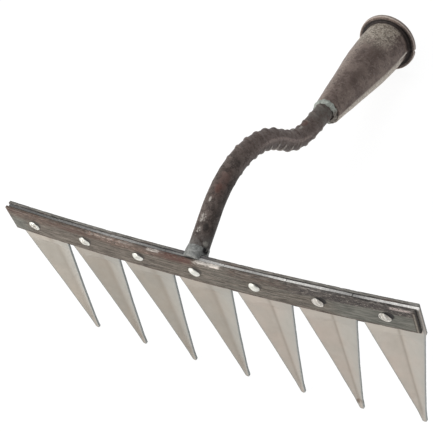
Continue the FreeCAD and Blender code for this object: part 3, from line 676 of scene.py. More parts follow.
def socket_material():
    mat = Material("socket_sheet_scale")
    # depth from the mouth; angle is 0 at the right and positive over the top
    depth, _, angle = mat.vector("bar").split()
    place = mat.vector("pos")
    mottle = place.noise((0.085, 0.085, 0.085), 5, 0.6, 0.5)
    blot = place.noise((0.30, 0.30, 0.30), 5, 0.68, 0.4, (2, 8, 5))
    grit = place.noise((0.80, 0.80, 0.80), 5, 0.70, 0.3, (6, 1, 3))
    fine = place.noise((2.8, 2.8, 2.8), 3, 0.7)
    mat.colour = mottle.ramp(0.38, 0.62).tint((96, 81, 75), (124, 109, 101))
    for source, start, full, strength, colour in (
            (blot, 0.48, 0.62, 0.60, (134, 118, 110)),
            (blot, 0.47, 0.36, 0.62, (74, 61, 55)),
            (grit, 0.54, 0.66, 0.50, (154, 140, 130)),
            (grit, 0.45, 0.33, 0.55, (62, 51, 47)),
            (fine, 0.56, 0.7, 0.30, (150, 138, 130))):
        mat.coat(colour, source.ramp(start, full) * strength)
    # brown shoulder, upper right
    brown = spot(depth, angle, (36.0, 1.0), (12.0, 0.45), 0.2)
    brown = brown.max(spot(depth, angle, (62.0, 0.95), (16.0, 0.35), 0.2))
    mat.coat((78, 63, 57), brown * blot.ramp(0.30, 0.55) * 0.60)
    # painted sheen along the upper left flank, the side towards the key light
    flank = angle.band(1.55, 1.90, 2.25, 2.6) * depth.ramp(24.0, 34.0)
    mat.coat((162, 147, 137), flank * grit.ramp(0.34, 0.56) * 0.7)
    # pitted pale scale behind the flange
    edge = depth + (blot - 0.5) * 22.0
    mouth = (edge.ramp(36.0, 18.0) * (angle + (blot - 0.5) * 1.2).ramp(0.45, 1.15)
             * depth.ramp(3.0, 4.6))
    pale = (grit * 0.6 + blot * 0.4).ramp(0.44, 0.57).tint((132, 121, 109), (206, 196, 181))
    pale = (grit.ramp(0.42, 0.34) * 0.6).tint(pale, (72, 63, 56))
    pale = (blot.ramp(0.52, 0.66) * 0.5).tint(pale, (112, 92, 80))
    mat.coat(pale, mouth * 0.9)
    pit = place.cells((0.46, 0.46, 0.46), (1, 3, 2)).ramp(0.36, 0.22) * edge.ramp(38.0, 22.0)
    mat.coat((60, 51, 46), pit * grit.ramp(0.40, 0.52) * blot.ramp(0.58, 0.46) * 0.6)
    # painted reflection of the floor on the lower flank below the lapped seam; bright cut edge next
    # to the flange, brightened near-white as a painted highlight
    light = grit.ramp(0.4, 0.6).tint((168, 158, 147), (212, 203, 191))
    mat.coat(light, mat.value("seam") * grit.ramp(0.30, 0.52, 0.55, 1.0))
    mat.coat((226, 219, 208), mat.value("sliver"))
    mat.coat((34, 29, 27), mat.value("groove") * 0.9)
    # sooty back of the flange, darkened further as painted shade, its outer rim rubbed and painted
    # brighter on the lit side as painted rim light; dull hem, brown inside
    worn_and_lit = grit.ramp(0.4, 0.62).tint((108, 94, 86), (156, 140, 131))
    mat.coat(mat.value("outer").tint((32, 26, 24), worn_and_lit), mat.value("soot"))
    hem = mat.value("hem")
    mat.coat((182, 169, 160), hem * fine.ramp(0.3, 0.55, 0.7, 1.0))
    mat.coat(blot.ramp(0.4, 0.62).tint((74, 58, 48), (112, 90, 76)), mat.value("inner"))
    height = grit * mouth.blend(0.4, 1.0) + fine * 0.28 - pit * 0.7
    return mat.finish(metallic=0.32,
                      roughness=hem.blend(blot.ramp(0.4, 0.65).blend(0.54, 0.66), 0.45),
                      normal=height.bump(distance=0.30, strength=0.75), specular=0.45)


def weld_material(name, grey, pale, dark, stain_strength, roughness):
    mat = Material(name)
    place = mat.vector("pos")
    mottle = place.noise((0.45, 0.45, 0.45), 5, 0.62, 0.5)
    grit = place.noise((1.7, 1.7, 1.7), 4, 0.65, 0.2, (4, 4, 4))
    fine = place.noise((5.0, 5.0, 5.0), 3, 0.7)
    mat.colour = mottle.ramp(0.38, 0.62).tint(grey, pale)
    mat.coat(dark, grit.ramp(0.44, 0.30) * 0.8)
    mat.coat(pale, fine.ramp(0.55, 0.7) * 0.3)
    mat.coat((104, 76, 58), mottle.ramp(0.60, 0.72) * stain_strength)
    brown = mottle.ramp(0.44, 0.58).tint((84, 70, 61), (146, 136, 127))
    mat.coat(brown, mat.value("stain") * grit.ramp(0.30, 0.5, 0.4, 0.9))
    mat.coat((12, 10, 9), mat.value("pit").ramp(0.25, 0.75))
    height = grit * 0.9 + fine * 0.35
    return mat.finish(metallic=0.30,
                      roughness=grit.ramp(0.4, 0.65).blend(roughness, roughness + 0.15),
                      normal=height.bump(distance=0.30, strength=0.85))


# --------------------------------------------------------------- clamp strips
ARRIS = 0.38                               # radius of the strips' long edges
END_STEPS = np.array([0.0, 0.06, 0.18, 0.45])    # stations in from each end ...
END_INSET = np.array([0.30, 0.16, 0.05, 0.0])    # ... and how far the section shrinks there
# bright wear on the front strip's upper arris: strength, start, full, full end, end
ARRIS_WEAR = ((0.75, 2, 5, 16, 22), (0.35, 66, 70, 74, 82), (0.22, -76, -70, -42, -34),
              (0.5, -30, -28, -23, -18))


def strip_section(thick, bottom, top):
    """Rows round a flat bar: depth, height, outward normal (depth, height), 1 on corners."""
    near, far, low, high = ARRIS, thick - ARRIS, bottom + ARRIS, top - ARRIS
    # corner centre, start angle; then the face: first end, last end, normal, steps
    sides = (((near, high), 180, (near, top), (far, top), (0, 1), 3),
             ((far, high), 90, (thick, high), (thick, low), (1, 0), 22),
             ((far, low), 0, (far, bottom), (near, bottom), (0, -1), 3),
             ((near, low), -90, (0, low), (0, high), (-1, 0), 22))
    corner_steps = 4
    rows = []
    for centre, start, first, last, normal, steps in sides:
        for i in range(corner_steps + 1):
            angle = math.radians(start - 90 * i / corner_steps)
            cos, sin = math.cos(angle), math.sin(angle)
            rows.append((centre[0] + ARRIS * cos, centre[1] + ARRIS * sin, cos, sin, 1.0))
        for i in range(1, steps):
            t = i / steps
            rows.append((first[0] + (last[0] - first[0]) * t,
                         first[1] + (last[1] - first[1]) * t, *normal, 0.0))
    return np.array(rows)


def clamp_strip(node_name, radius, thick, left, right, top, bottom, seed, material, front):
    """A bowed flat bar; left, right, top and bottom are reaches from the middle rivet."""
    middle = np.linspace(-left + 0.9, right - 0.9, int((left + right) / 0.55))
    stations = np.concatenate([-left + END_STEPS, middle, right - END_STEPS[::-1]])
    inset = np.zeros(len(stations))
    inset[:4] = END_INSET
    inset[-4:] = END_INSET[::-1]
    section = strip_section(thick, -bottom, top)
    along, depth, height, out_depth, out_height, corner = np.broadcast_arrays(
        stations[:, None], *section.T)
    point = np.stack([along, depth * 3.0, height], -1)
    # hammered waviness, rolled streaks and chipped arrises; mostly cutting inwards
    shift = 0.05 * (fbm(point * [0.045, 0.05, 0.16], seed, 3) - 0.8)
    shift += 0.022 * (fbm(point * [0.10, 0.4, 1.4], seed + 3, 3) - 0.6)
    chips = np.clip(fbm(point * [0.33, 0.5, 0.5], seed + 5, 4) * 1.9 - 0.25, 0, 1)
    nicks = np.clip(fbm(point * [1.1, 0.7, 0.7], seed + 8, 2) * 2.2 - 0.9, 0, 1)
    shift -= corner * (0.16 * chips + 0.20 * nicks)
    front_face = out_depth < -0.5
    if front:
        # shallow band and step across the front face at the right-hand end
        band = window(along, right - 4.0, right - 3.4, right - 2.8, right - 2.4)
        shift -= 0.07 * band * front_face
        shift -= 0.10 * smooth(along, right - 1.8, right - 1.2) * front_face
    shift -= inset[:, None]
    rings = on_bow(along, radius - (depth + out_depth * shift), height + out_height * shift)

    patchy = fbm(point * [0.07, 0.3, 0.5], seed + 21, 4)
    speckle = fbm(point * [0.5, 0.6, 0.9], seed + 23, 3)
    shade = np.zeros(along.shape)
    if front:
        amount = 0.12 + sum(strength * window(along, *limits) for strength, *limits in ARRIS_WEAR)
        amount = amount * np.clip(0.55 + 1.3 * speckle + 0.6 * patchy, 0, 1)
        worn = np.where((height > top - 0.9) & (out_depth < 0.1), amount, 0.0)
        worn = np.where(height < -bottom + 0.5, np.clip(speckle * 1.4 - 0.45, 0, 0.25), worn)
        shade[-2:] = 0.85
        shade[-5:-2] = np.where(front_face[-5:-2], 0.55, 0.3)
    else:
        amount = np.clip(0.02 + 0.45 * patchy + 0.3 * speckle, 0, 0.3)
        worn = np.where((height > top - 0.42) & (corner > 0.5), amount, 0.0)
    attributes = {"bar": np.stack([along, depth, height], -1), "worn": worn, "shade": shade}
    ob = build(node_name + "_bar", rings, attributes, node_name, material, sharp=40)
    drill_rivet_holes(ob, PLACES, radius - thick / 2)


# --------------------------------------------------------------------- blades
BLADE_TOP = 10.2
BLADE_THICK = 1.5
BLADE_SHIFT = 1.9                          # blades hang this far right of their rivets
BLADE_SPLAY = math.radians(0.43)           # turn of the outermost blades
BLADE_RADIUS = BOW_RADIUS - FRONT_THICK - 0.105    # of a blade's front surface
TIP_ROUND = 1.3
ROLL_OVER = 0.10                           # front and back stop this short of the sides
SIDE_DEPTHS = np.array([0.16, 0.5, 1.0, 1.34])     # points across a sheared side ...
SIDE_BULGE = np.array([0.0, 0.06, 0.06, 0.0])      # ... and how far they stand out
# each blade, left to right: fold height, fold bend, crease width, crease strength, dimness
BLADES = (
    (4.6, 3.4, 2.4, 0.75, 0.17), (4.2, 3.0, 2.4, 0.75, 0.34), (4.0, 2.6, 2.2, 0.75, 0.32),
    (3.8, 2.0, 1.9, 0.80, 0.26), (3.6, 1.3, 1.1, 0.95, 0.17), (3.5, 1.1, 0.9, 1.0, 0.14),
    (3.8, 1.1, 0.9, 1.0, 0.04))
# brightness of the upper edges, rubbed and with painted reflection and painted shadow beside the
# neck: place along the bar, tone
TOP_TONE = np.array([
    (-134, 0.12), (-98, 0.13), (-90, 0.20), (-62, 0.21), (-54, 0.33), (-42, 0.34), (-36, 0.22),
    (-20, 0.18), (-12, 0.14), (-6, 0.07), (1, 0.07), (6, 0.62), (16, 0.58), (24, 0.36),
    (36, 0.30), (50, 0.34), (60, 0.66), (86, 0.64), (92, 0.36), (102, 0.32), (108, 0.66),
    (134, 0.84)])


def blade_half_width(z, length):
    """Half the blank's width, its outline softened except near the tip."""
    heights = np.array([-length, -(length - 10.6), -60.9, -21.1, -16.1, -11.9, -3.0, BLADE_TOP])
    widths = np.array([2.9, 5.1, 17.0, 31.3, 33.3, 34.9, 38.3, 38.3])
    total = 0.0
    for offset, weight in ((-2.4, 1), (-1.2, 2), (0.0, 3), (1.2, 2), (2.4, 1)):
        total = total + weight * np.interp(z + offset, heights, widths)
    near = smooth(z, -length + 4.0, -length + 1.0)
    return (total / 9.0 * (1 - near) + np.interp(z, heights, widths) * near) / 2


def blade_stain(number, x, above_tip):
    """Brown marks near the tips of blades 2, 5 and 6."""
    if number == 6:
        away = np.sqrt((x + 0.4) ** 2 + (above_tip - 8.0) ** 2)
        return (1 - smooth(away, 1.0, 3.4)) * 0.75
    if number in (2, 5):
        away = np.sqrt((x - 0.2) ** 2 * 2 + ((above_tip - 6.0) / 2.0) ** 2)
        return (1 - smooth(away, 0.5, 3.0)) * 0.35
    return np.zeros_like(x)


def blade(place, material):
    """Folded plate. Local frame: x across, y back from the front surface, z up."""
    number = place + MIDDLE
    last = place == PLACES[-1]
    fold, bend, crease_width, crease_strength, dimness = BLADES[number - 1]
    length = 105.8 if last else 109.4      # tip below the rivet
    z = np.concatenate([
        np.array([BLADE_TOP, 10.14, 10.0, 9.7]),
        np.arange(9.0, -(length - 12.0), -0.9),
        np.arange(-(length - 12.0), -(length - 2.0), -0.5),
        -length + np.array([1.9, 1.6, 1.3, 1.0, 0.75, 0.5, 0.32, 0.18, 0.08, 0.02, 0.0])])
    above_tip = z + length

    # fold height down the blade, and the half width of the fold's pointed upper end
    share = np.interp(np.minimum(z, -21.1), [-length, -(length - 10.6), -60.9, -21.1],
                      [0.03, 0.17, 0.55, 1.0])
    fold_height = fold * ((1 - smooth(z, -25.0, -15.9)) * share)
    apex = 0.80 * fold * (1 - np.clip((-z - 15.9) / 9.1, 0, 1)) * (0.8 if last else 1)
    lean = 0.8 if last else -0.3           # sideways drift of the tip
    centre = lean * np.interp(-z, [21.1, 60.9, length - 10.6, length], [0.0, 0.5, 1.0, 1.0])

    # outline: rounded tip, top corners snipped round
    half = blade_half_width(z, length)
    rise = TIP_ROUND - np.minimum(above_tip, TIP_ROUND)
    tip = np.sqrt(np.maximum(TIP_ROUND ** 2 - rise ** 2, 0))
    half = np.where(above_tip < TIP_ROUND, half - TIP_ROUND + tip, half)
    below_top = np.clip(BLADE_TOP - z, 0, 0.5)
    half = half + 0.09 * smooth(z, -6.0, 0.0) - 0.06 * (1 - below_top / 0.5) ** 2
    # the blade at the right-hand end is trimmed flush with the bar
    right_half = np.where(z > -12.6, np.minimum(half, 17.43), half) if last else half

    across = np.linspace(-1, 1, 73)
    across = np.sign(across) * np.abs(across) ** 1.15
    rows, columns = len(z), len(across)
    apex_share = (apex / np.maximum(half, 0.5))[:, None] * smooth(z, -25.0, -24.0)[:, None]
    z, above_tip, centre, half, right_half = (
        values[:, None] for values in (z, above_tip, centre, half, right_half))
    across = np.repeat(across[None], rows, 0)
    width = np.where(across > 0, right_half, half)
    off_fold = np.where(across > apex_share, (across - apex_share) / (1 - apex_share),
                        (across - apex_share) / (1 + apex_share))
    ease = np.minimum(bend / np.maximum(half, 0.5), 0.75)
    valley = ((np.sqrt(1 + ease * ease) - np.sqrt(off_fold * off_fold + ease * ease))
              / (np.sqrt(1 + ease * ease) - ease))
    # facets are very slightly dished towards their free edges
    valley = valley - 0.05 * np.sin(np.pi * np.abs(off_fold)) * (1 if place < 1 else 0.6)
    seed = 40 + number

    def face(x, y):
        return np.stack(np.broadcast_arrays(x, y, z), -1)

    wave = 0.05 * fbm(face(centre + across * width, 0.0) * [0.05, 1, 0.035], seed, 2)
    wave *= smooth(-z, 12.0, 24.0)
    front_y = fold_height[:, None] * valley + wave
    front_x = centre + across * np.maximum(width - ROLL_OVER, 0.02)
    right_x = centre + np.maximum(right_half, 0.05) - ROLL_OVER * 0.2 + SIDE_BULGE
    left_x = centre - np.maximum(half, 0.05) + ROLL_OVER * 0.2 - SIDE_BULGE
    local = np.concatenate([
        face(front_x, front_y),
        face(np.minimum(right_x, centre + right_half), front_y[:, -1:] + SIDE_DEPTHS),
        face(front_x[:, ::-1], front_y[:, ::-1] + BLADE_THICK),
        face(np.maximum(left_x, centre - half), front_y[:, :1] + SIDE_DEPTHS[::-1])], 1)

    def around(front=0.0, side=0.0, back=0.0):
        """Values for a whole ring; those of the back are given in the front's order."""
        front, back = (np.broadcast_to(values, (rows, columns)) for values in (front, back))
        side = np.full((rows, len(SIDE_DEPTHS)), side)
        return np.concatenate([front, side, back[:, ::-1], side], 1)

    # slight burr and nicks along the edges
    is_side = around(side=1.0)
    near_edge = np.abs(across) ** 30
    ragged = fbm(np.stack(np.broadcast_arrays(z * 0.5, local[..., 1] * 0.2 + seed,
                                              local[..., 0] * 0.02), -1), seed, 3)
    nick = (-0.10 * np.clip(ragged + 0.25, 0, 1)
            * np.maximum(is_side, around(front=near_edge, back=near_edge)) * smooth(-z, -2.0, 8.0))
    local[..., 0] += np.sign(local[..., 0] - centre) * nick

    rim = 1 - smooth(width - np.abs(across * width), 0.25, 0.95)
    # painted light on the right-hand facet
    facet = (smooth(off_fold, 0.02, 0.30) * (0.6 + 0.4 * smooth(off_fold, 0.4, 0.9))
             * smooth(-z, 8, 14))          # the right-hand facet
    # painted shade along the crease
    crease = (bell(off_fold * half, crease_width) * crease_strength * smooth(-z, 6, 9)
              * smooth(above_tip, 2.0, 14.0))
    # sheared faces, darkened as painted shade
    sheared = is_side * smooth(-z, -6.0, 4.0)
    if last:
        sheared[:, columns:columns + len(SIDE_DEPTHS)] *= smooth(-z, 12.0, 20.0)
    along = local[..., 0] + BLADE_SHIFT + place * PITCH
    tone = np.interp(along, *TOP_TONE.T)
    spots = np.stack([along * 0.22, along * 0.0, along * 0.0 + 3.0], -1)
    tone = tone * (1.0 + 0.45 * fbm(spots, 77, 3))
    attributes = {
        "bar": local, "rim": around(front=rim, back=rim), "facet": around(front=facet),
        "crease": around(front=crease), "sheared": sheared,
        "stain": blade_stain(number, local[..., 0], local[..., 2] + length),
        "blade": np.full(is_side.shape, float(number)),
        "top": np.broadcast_to(smooth(z, 9.3, 9.9), is_side.shape), "tone": tone,
        "dim": np.full(is_side.shape, dimness)}

    splay = -place / 3.0 * BLADE_SPLAY
    cos, sin = math.cos(splay), math.sin(splay)
    hung = np.empty_like(local)
    hung[..., 0] = local[..., 0] * cos + local[..., 2] * sin + BLADE_SHIFT
    hung[..., 1] = local[..., 1]
    hung[..., 2] = -local[..., 0] * sin + local[..., 2] * cos
    ob = build("blade_%d_plate" % number, carry_to_bow(hung, BLADE_RADIUS, place), attributes,
               "blade_%d" % number, material, sharp=38)
    drill_rivet_holes(ob, [place], BOW_RADIUS - FRONT_THICK - 0.8)


# --------------------------------------------------------------------- rivets
HEAD_RADIUS, HEAD_RISE = 3.86, 1.47
HEAD_ROUND = 0.34                          # rounding of the head's rim
HEAD_SEAT = -0.01                          # y of the head's underside
TAIL_RADIUS, TAIL_RISE = 3.36, 1.17
SHANK_RADIUS = 2.28
STACK = FRONT_THICK + GAP + REAR_THICK + 0.02
HEAD_SHIFT = -0.22                         # heads sit slightly low and left of their holes
DOME, RIM, UNDERSIDE, SHANK, BACK, TAIL_RIM, TAIL_DOME = range(7)


def dome(r, radius, rise):
    """Height of a spherical cap at distance r from its axis."""
    ball = (radius * radius + rise * rise) / (2 * rise)
    return math.sqrt(ball * ball - r * r) - (ball - rise)


def rivet_profile(place):
    """Rows radius, y, kind, from the head's crown back."""
    rows = []
    for i in range(17):
        r = 0.02 + (HEAD_RADIUS - HEAD_ROUND) * (i / 16.0)
        rows.append((r, HEAD_SEAT - dome(r, HEAD_RADIUS, HEAD_RISE), DOME))
    for angle in np.radians((25, 50, 75, 90)):
        rows.append((HEAD_RADIUS - HEAD_ROUND + HEAD_ROUND * math.sin(angle),
                     HEAD_SEAT - HEAD_ROUND * math.cos(angle) - 0.02, RIM))
    rows += [(HEAD_RADIUS - 0.08, HEAD_SEAT - 0.002, RIM), (3.1, HEAD_SEAT, UNDERSIDE),
             (2.36, HEAD_SEAT, UNDERSIDE)]
    rows += [(SHANK_RADIUS, HEAD_SEAT + 0.1 + (STACK - 0.2) * k / 6.0, SHANK) for k in range(6)]
    if place == 0:                         # cut flush behind, under the neck's foot
        rows += [(SHANK_RADIUS, STACK - 0.06, SHANK)]
        rows += [(r, STACK - 0.02, BACK) for r in (1.6, 0.8, 0.02)]
        return np.array(rows)
    rows += [(2.36, STACK - 0.01, SHANK), (2.9, STACK, BACK),
             (TAIL_RADIUS - 0.06, STACK + 0.01, TAIL_RIM), (TAIL_RADIUS, STACK + 0.12, TAIL_RIM),
             (TAIL_RADIUS - 0.10, STACK + 0.26, TAIL_RIM)]
    for i in range(11, -1, -1):
        r = 0.02 + (TAIL_RADIUS - 0.3) * (i / 12.0)
        rows.append((r, STACK + dome(r, TAIL_RADIUS, TAIL_RISE), TAIL_DOME))
    return np.array(rows)


def hammer_marks(number, x, z, lump, face):
    """How deep each rivet's head is pressed in, and how dark its dents are."""
    press = 0.22 * np.clip(lump + 0.15, 0, 1)
    dent = np.zeros_like(x)
    if number == 1:
        # dents: x, z, radius, depth
        for dent_x, dent_z, radius, depth in ((0.9, 0.5, 1.05, 0.75), (-0.7, -0.9, 0.9, 0.6),
                                              (-1.0, 1.2, 0.7, 0.45), (1.2, -1.4, 0.7, 0.4)):
            mark = bell(np.hypot(x - dent_x, z - dent_z), radius)
            press = press + depth * mark
            dent = np.maximum(dent, mark * 0.9)
    elif number == 2:
        # two slanting grooves
        long = bell(x * 0.45 + z * 0.89, 0.42) * (1 - smooth(np.abs(x), 1.6, 2.8))
        short = (bell((x - 0.9) * 0.45 + (z - 1.2) * 0.89, 0.36)
                 * (1 - smooth(np.abs(x), 1.2, 2.4)))
        press = press + 0.55 * long + 0.35 * short
        dent = np.maximum(long * 0.8, short * 0.5)
    elif number == 3:
        mark = bell(np.hypot(x - 0.5, z - 0.7), 0.8)
        press = press + 0.35 * mark + 0.06 * np.cos(x * 3.0)
        dent = mark * 0.45
    elif number in (6, 7):
        ridges = 0.5 + 0.5 * np.cos((x * 0.75 + z * 0.25) * 3.4 + number)
        press = 0.25 + 0.38 * ridges * face + 0.25 * np.clip(lump, 0, 1)
        dent = ridges * 0.35 * face
    return press, dent


def rivet(place, material):
    """Hammered head at the front, shank, and a smaller head at the back."""
    number = place + MIDDLE
    rng = np.random.RandomState(700 + number)
    radius, y, kind, angle = np.broadcast_arrays(
        *np.hsplit(rivet_profile(place), 3), np.linspace(0, 2 * np.pi, 64, endpoint=False))
    head, tail = kind <= RIM, kind >= TAIL_RIM
    lobes = (0.05 * np.cos(2 * angle + rng.uniform(0, 6))
             + 0.03 * np.cos(3 * angle + rng.uniform(0, 6))
             + 0.02 * np.cos(5 * angle + rng.uniform(0, 6)))
    shrink = np.where((head | tail) & (radius > 0.5), -0.07 + lobes * 0.8, 0.0)
    uneven = radius * (1 + shrink * (radius / HEAD_RADIUS))
    x = uneven * np.cos(angle)
    z = uneven * np.sin(angle)

    point = np.stack([x, z, np.full_like(x, number * 7.0)], -1)
    face = 1 - smooth(radius, HEAD_RADIUS - 0.9, HEAD_RADIUS - 0.1)
    lump = fbm(point * 0.33, 900 + number, 3)
    press, dent = hammer_marks(number, x, z, lump, face)
    y = y + np.minimum(np.where(head, press * face, 0.0), 1.05)
    tail_press = (0.15 * np.clip(fbm(point * 0.5 + 9, 950 + number, 3) + 0.2, 0, 1)
                  * (1 - smooth(radius, 2.2, 3.2)))
    y = y - np.where(tail, tail_press, 0.0)

    # painted shade below the rim, and on the upper right flank of each head, the side turned from
    # the key light
    foot = np.select([(kind == RIM) & (radius > HEAD_RADIUS - 0.12),
                      (kind >= UNDERSIDE) & (kind <= BACK), kind == TAIL_RIM],
                     [0.55, 1.0, 0.6], 0.0)
    start, strength = (0.60, 1.0) if number > 5 else (0.68, 0.85)
    lee = (x * 0.63 + z * 0.777) / HEAD_RADIUS
    flank = smooth(lee + 0.14 * lump, start, 0.80) * strength
    foot = np.maximum(foot, np.where(head, flank, 0.0))

    local = np.stack([x + HEAD_SHIFT * head, y, z + HEAD_SHIFT * head], -1)
    attributes = {"bar": local, "dent": np.where(head, dent * face, 0.0), "foot": foot,
                  "blade": np.full(x.shape, float(number))}
    build("rivet_%d" % number, carry_to_bow(local, BOW_RADIUS, place), attributes,
          "blade_rivets", material, sharp=55)


# ----------------------------------------------------------------------- neck
ROD_RADIUS = 6.15
SEAT_Y, SEAT_Z = 1.72, 6.52                # where the rod's axis meets the rear strip
YAW = math.radians(0.24)
RISE, FALL, DIP = np.radians((22.2, 54.49, 14.3))    # slopes: up, steepest down, down at the end
PATH_STEP = 0.42
# straight length or bend radius, turn (0 for a straight)
NECK_RUNS = ((26.41, 0.0), (65.45, -(RISE + FALL)), (3.33, 0.0), (53.19, FALL - DIP),
             (33.15, 0.0))
SPINE_ROLL = math.radians(10.0)            # the spine ribs are rolled up from the X axis
RIB_LEAN = math.radians(24.0)
RIB_START, RIB_PITCH, RIB_COUNT = 59.5, 9.3, 13
WORN_RIBS = ((50.4, 0.24), (41.5, 0.12))   # place along the rod, height
FOOT_BLEND = 6.5                           # length over which the foot is fitted to its seat


def neck_path():
    """Rows along the rod's axis: length from the seat, y, z, slope."""
    rows = []
    length, y, z, slope = 0.0, SEAT_Y, SEAT_Z, RISE
    for size, turn in NECK_RUNS:
        if turn == 0.0:
            steps = int(round(size / PATH_STEP))
            cos, sin = math.cos(slope), math.sin(slope)
            for i in range(steps):
                t = size * i / steps
                rows.append((length + t, y + t * cos, z + t * sin, slope))
            length, y, z = length + size, y + size * cos, z + size * sin
        else:
            arc = size * abs(turn)
            steps = int(round(arc / PATH_STEP))
            radius = math.copysign(size, turn)
            centre_y, centre_z = y - radius * math.sin(slope), z + radius * math.cos(slope)
            for i in range(steps):
                now = slope + turn * i / steps
                rows.append((length + arc * i / steps, centre_y + radius * math.sin(now),
                             centre_z - radius * math.cos(now), now))
            slope += turn
            length += arc
            y, z = centre_y + radius * math.sin(slope), centre_z - radius * math.cos(slope)
    rows.append((length, y, z, slope))
    return np.array(rows)


def cross_ribs(along, angle, off_spine):
    """Height of the leaning crescent ribs, and the dark line at their roots."""
    cos, sin = np.cos(angle - SPINE_ROLL), np.sin(angle - SPINE_ROLL)
    lean = -ROD_RADIUS * cos * math.tan(RIB_LEAN)
    # highest at top and bottom, sunk at the sides
    low_crescent = np.clip((np.abs(sin) - 0.20) / 0.80, 0, 1)
    # lower on the flank above the right-hand spine rib
    crescent = low_crescent ** 1.25 * (1 - 0.45 * bell(off_spine - math.radians(48),
                                                       math.radians(26)))
    height = np.zeros_like(crescent)
    root = np.zeros_like(crescent)
    for k in range(RIB_COUNT):
        away = (along - (RIB_START + RIB_PITCH * k) - lean) * math.cos(RIB_LEAN)
        wear = 1.0 + 0.25 * fbm(np.stack([along * 0.1, angle, np.full(along.shape, 3.0 * k)], -1),
                                5, 2)
        first = 0.75 if k == 0 else 1.0
        profile = np.exp(-np.abs(away / 1.02) ** 2.6)
        height = np.maximum(height, 0.80 * crescent * profile * wear * first)
        root = np.maximum(root, bell(np.abs(away) - 1.75, 0.6) * crescent)
    for start, tall in WORN_RIBS:
        away = (along - start - lean) * math.cos(RIB_LEAN)
        height = np.maximum(height, tall * low_crescent * bell(away, 1.3))
    return height, root * smooth(along, 56.0, 62.0) * (height > 0.02)


def neck(material):
    path = neck_path()
    along, angle = np.broadcast_arrays(path[:, :1], np.linspace(0, 2 * np.pi, 120, endpoint=False))
    # two spine ribs; the right-hand one is worn away except along the double bend
    off_spine = wrap(angle - SPINE_ROLL)
    opposite = wrap(angle - SPINE_ROLL - np.pi)
    spine = (np.exp(-((off_spine * ROD_RADIUS) / 1.05) ** 4)
             + np.exp(-((opposite * ROD_RADIUS) / 1.05) ** 4))
    fade = 0.18 + 0.82 * smooth(along, 34.0, 60.0)
    kept = np.where(np.abs(off_spine) < 1.2,
                    0.25 + 0.75 * window(along, 74.0, 92.0, 138.0, 150.0), 1.0)
    rib_height, root = cross_ribs(along, angle, off_spine)
    proud = np.maximum(0.42 * spine * fade * kept, rib_height)

    zero = np.zeros(len(path))
    cos, sin = np.cos(path[:, 3]), np.sin(path[:, 3])
    forward = np.stack([zero, cos, sin], -1)
    normal = np.stack([zero, -sin, cos], -1)
    axis = np.stack([zero, path[:, 1], path[:, 2]], -1)[:, None]
    outward = (np.cos(angle)[..., None] * np.array([1.0, 0, 0])
               + np.sin(angle)[..., None] * normal[:, None])
    plain = axis + outward * ROD_RADIUS
    dents = 0.16 * (fbm(plain * 0.085, 61, 3) - 0.25) + 0.05 * fbm(plain * 0.45, 63, 3)
    flats = (np.clip(fbm(plain * [0.10, 0.06, 0.06], 67, 2) * 2.0 - 0.55, 0, 1)
             * (1 - smooth(along, 40.0, 60.0)))
    radius = ROD_RADIUS + proud + np.minimum(dents, 0.03) - 0.22 * flats
    rings = axis + outward * radius[..., None]
    # slide the first rings along the rod, so that the foot ends flat on the rear strip
    slide = (SEAT_Y - rings[0, :, 1]) / math.cos(RISE) * np.maximum(1 - along / FOOT_BLEND, 0)
    rings = rings + forward[:, None] * slide[..., None]
    x, y = rings[..., 0].copy(), rings[..., 1] - SEAT_Y
    rings[..., 0] = x * math.cos(YAW) - y * math.sin(YAW)
    rings[..., 1] = x * math.sin(YAW) + y * math.cos(YAW) + SEAT_Y
    rings[0, :, 1] = SEAT_Y + 0.01
    attributes = {"bar": np.stack([along, wrap(angle) * ROD_RADIUS, proud], -1), "pos": rings,
                  "root": root, "spine": np.clip(spine, 0, 1) * fade * (kept - 0.25) / 0.75}
    build("neck_ribbed_bar", rings, attributes, "neck_rod", material, sharp=65)


# --------------------------------------------------------------------- socket
SOCKET_LENGTH = 92.0
PARALLEL_END, CURVE_END = 12.0, 45.0       # outside: parallel, then curved, then conical
MOUTH_RADIUS, CURVE_END_RADIUS, END_RADIUS = 16.1, 14.26, 9.0
CURVE_RADIUS = 297.0                       # of the bulge between PARALLEL_END and CURVE_END
BORE_TAPER = 24.0                          # the bore is parallel up to this depth
BORE_RADIUS, BORE_END_RADIUS = 14.5, 7.5
FLANGE_BACK = 2.42
FILLET_RADIUS = 0.95
SEAM = math.radians(-9.0)                  # angle of the lapped seam, just below the right
SKIN, FILLET, FLANGE_REAR, LIP, FLANGE_FRONT, BORE, HEM_GROOVE, SMALL_END = range(8)


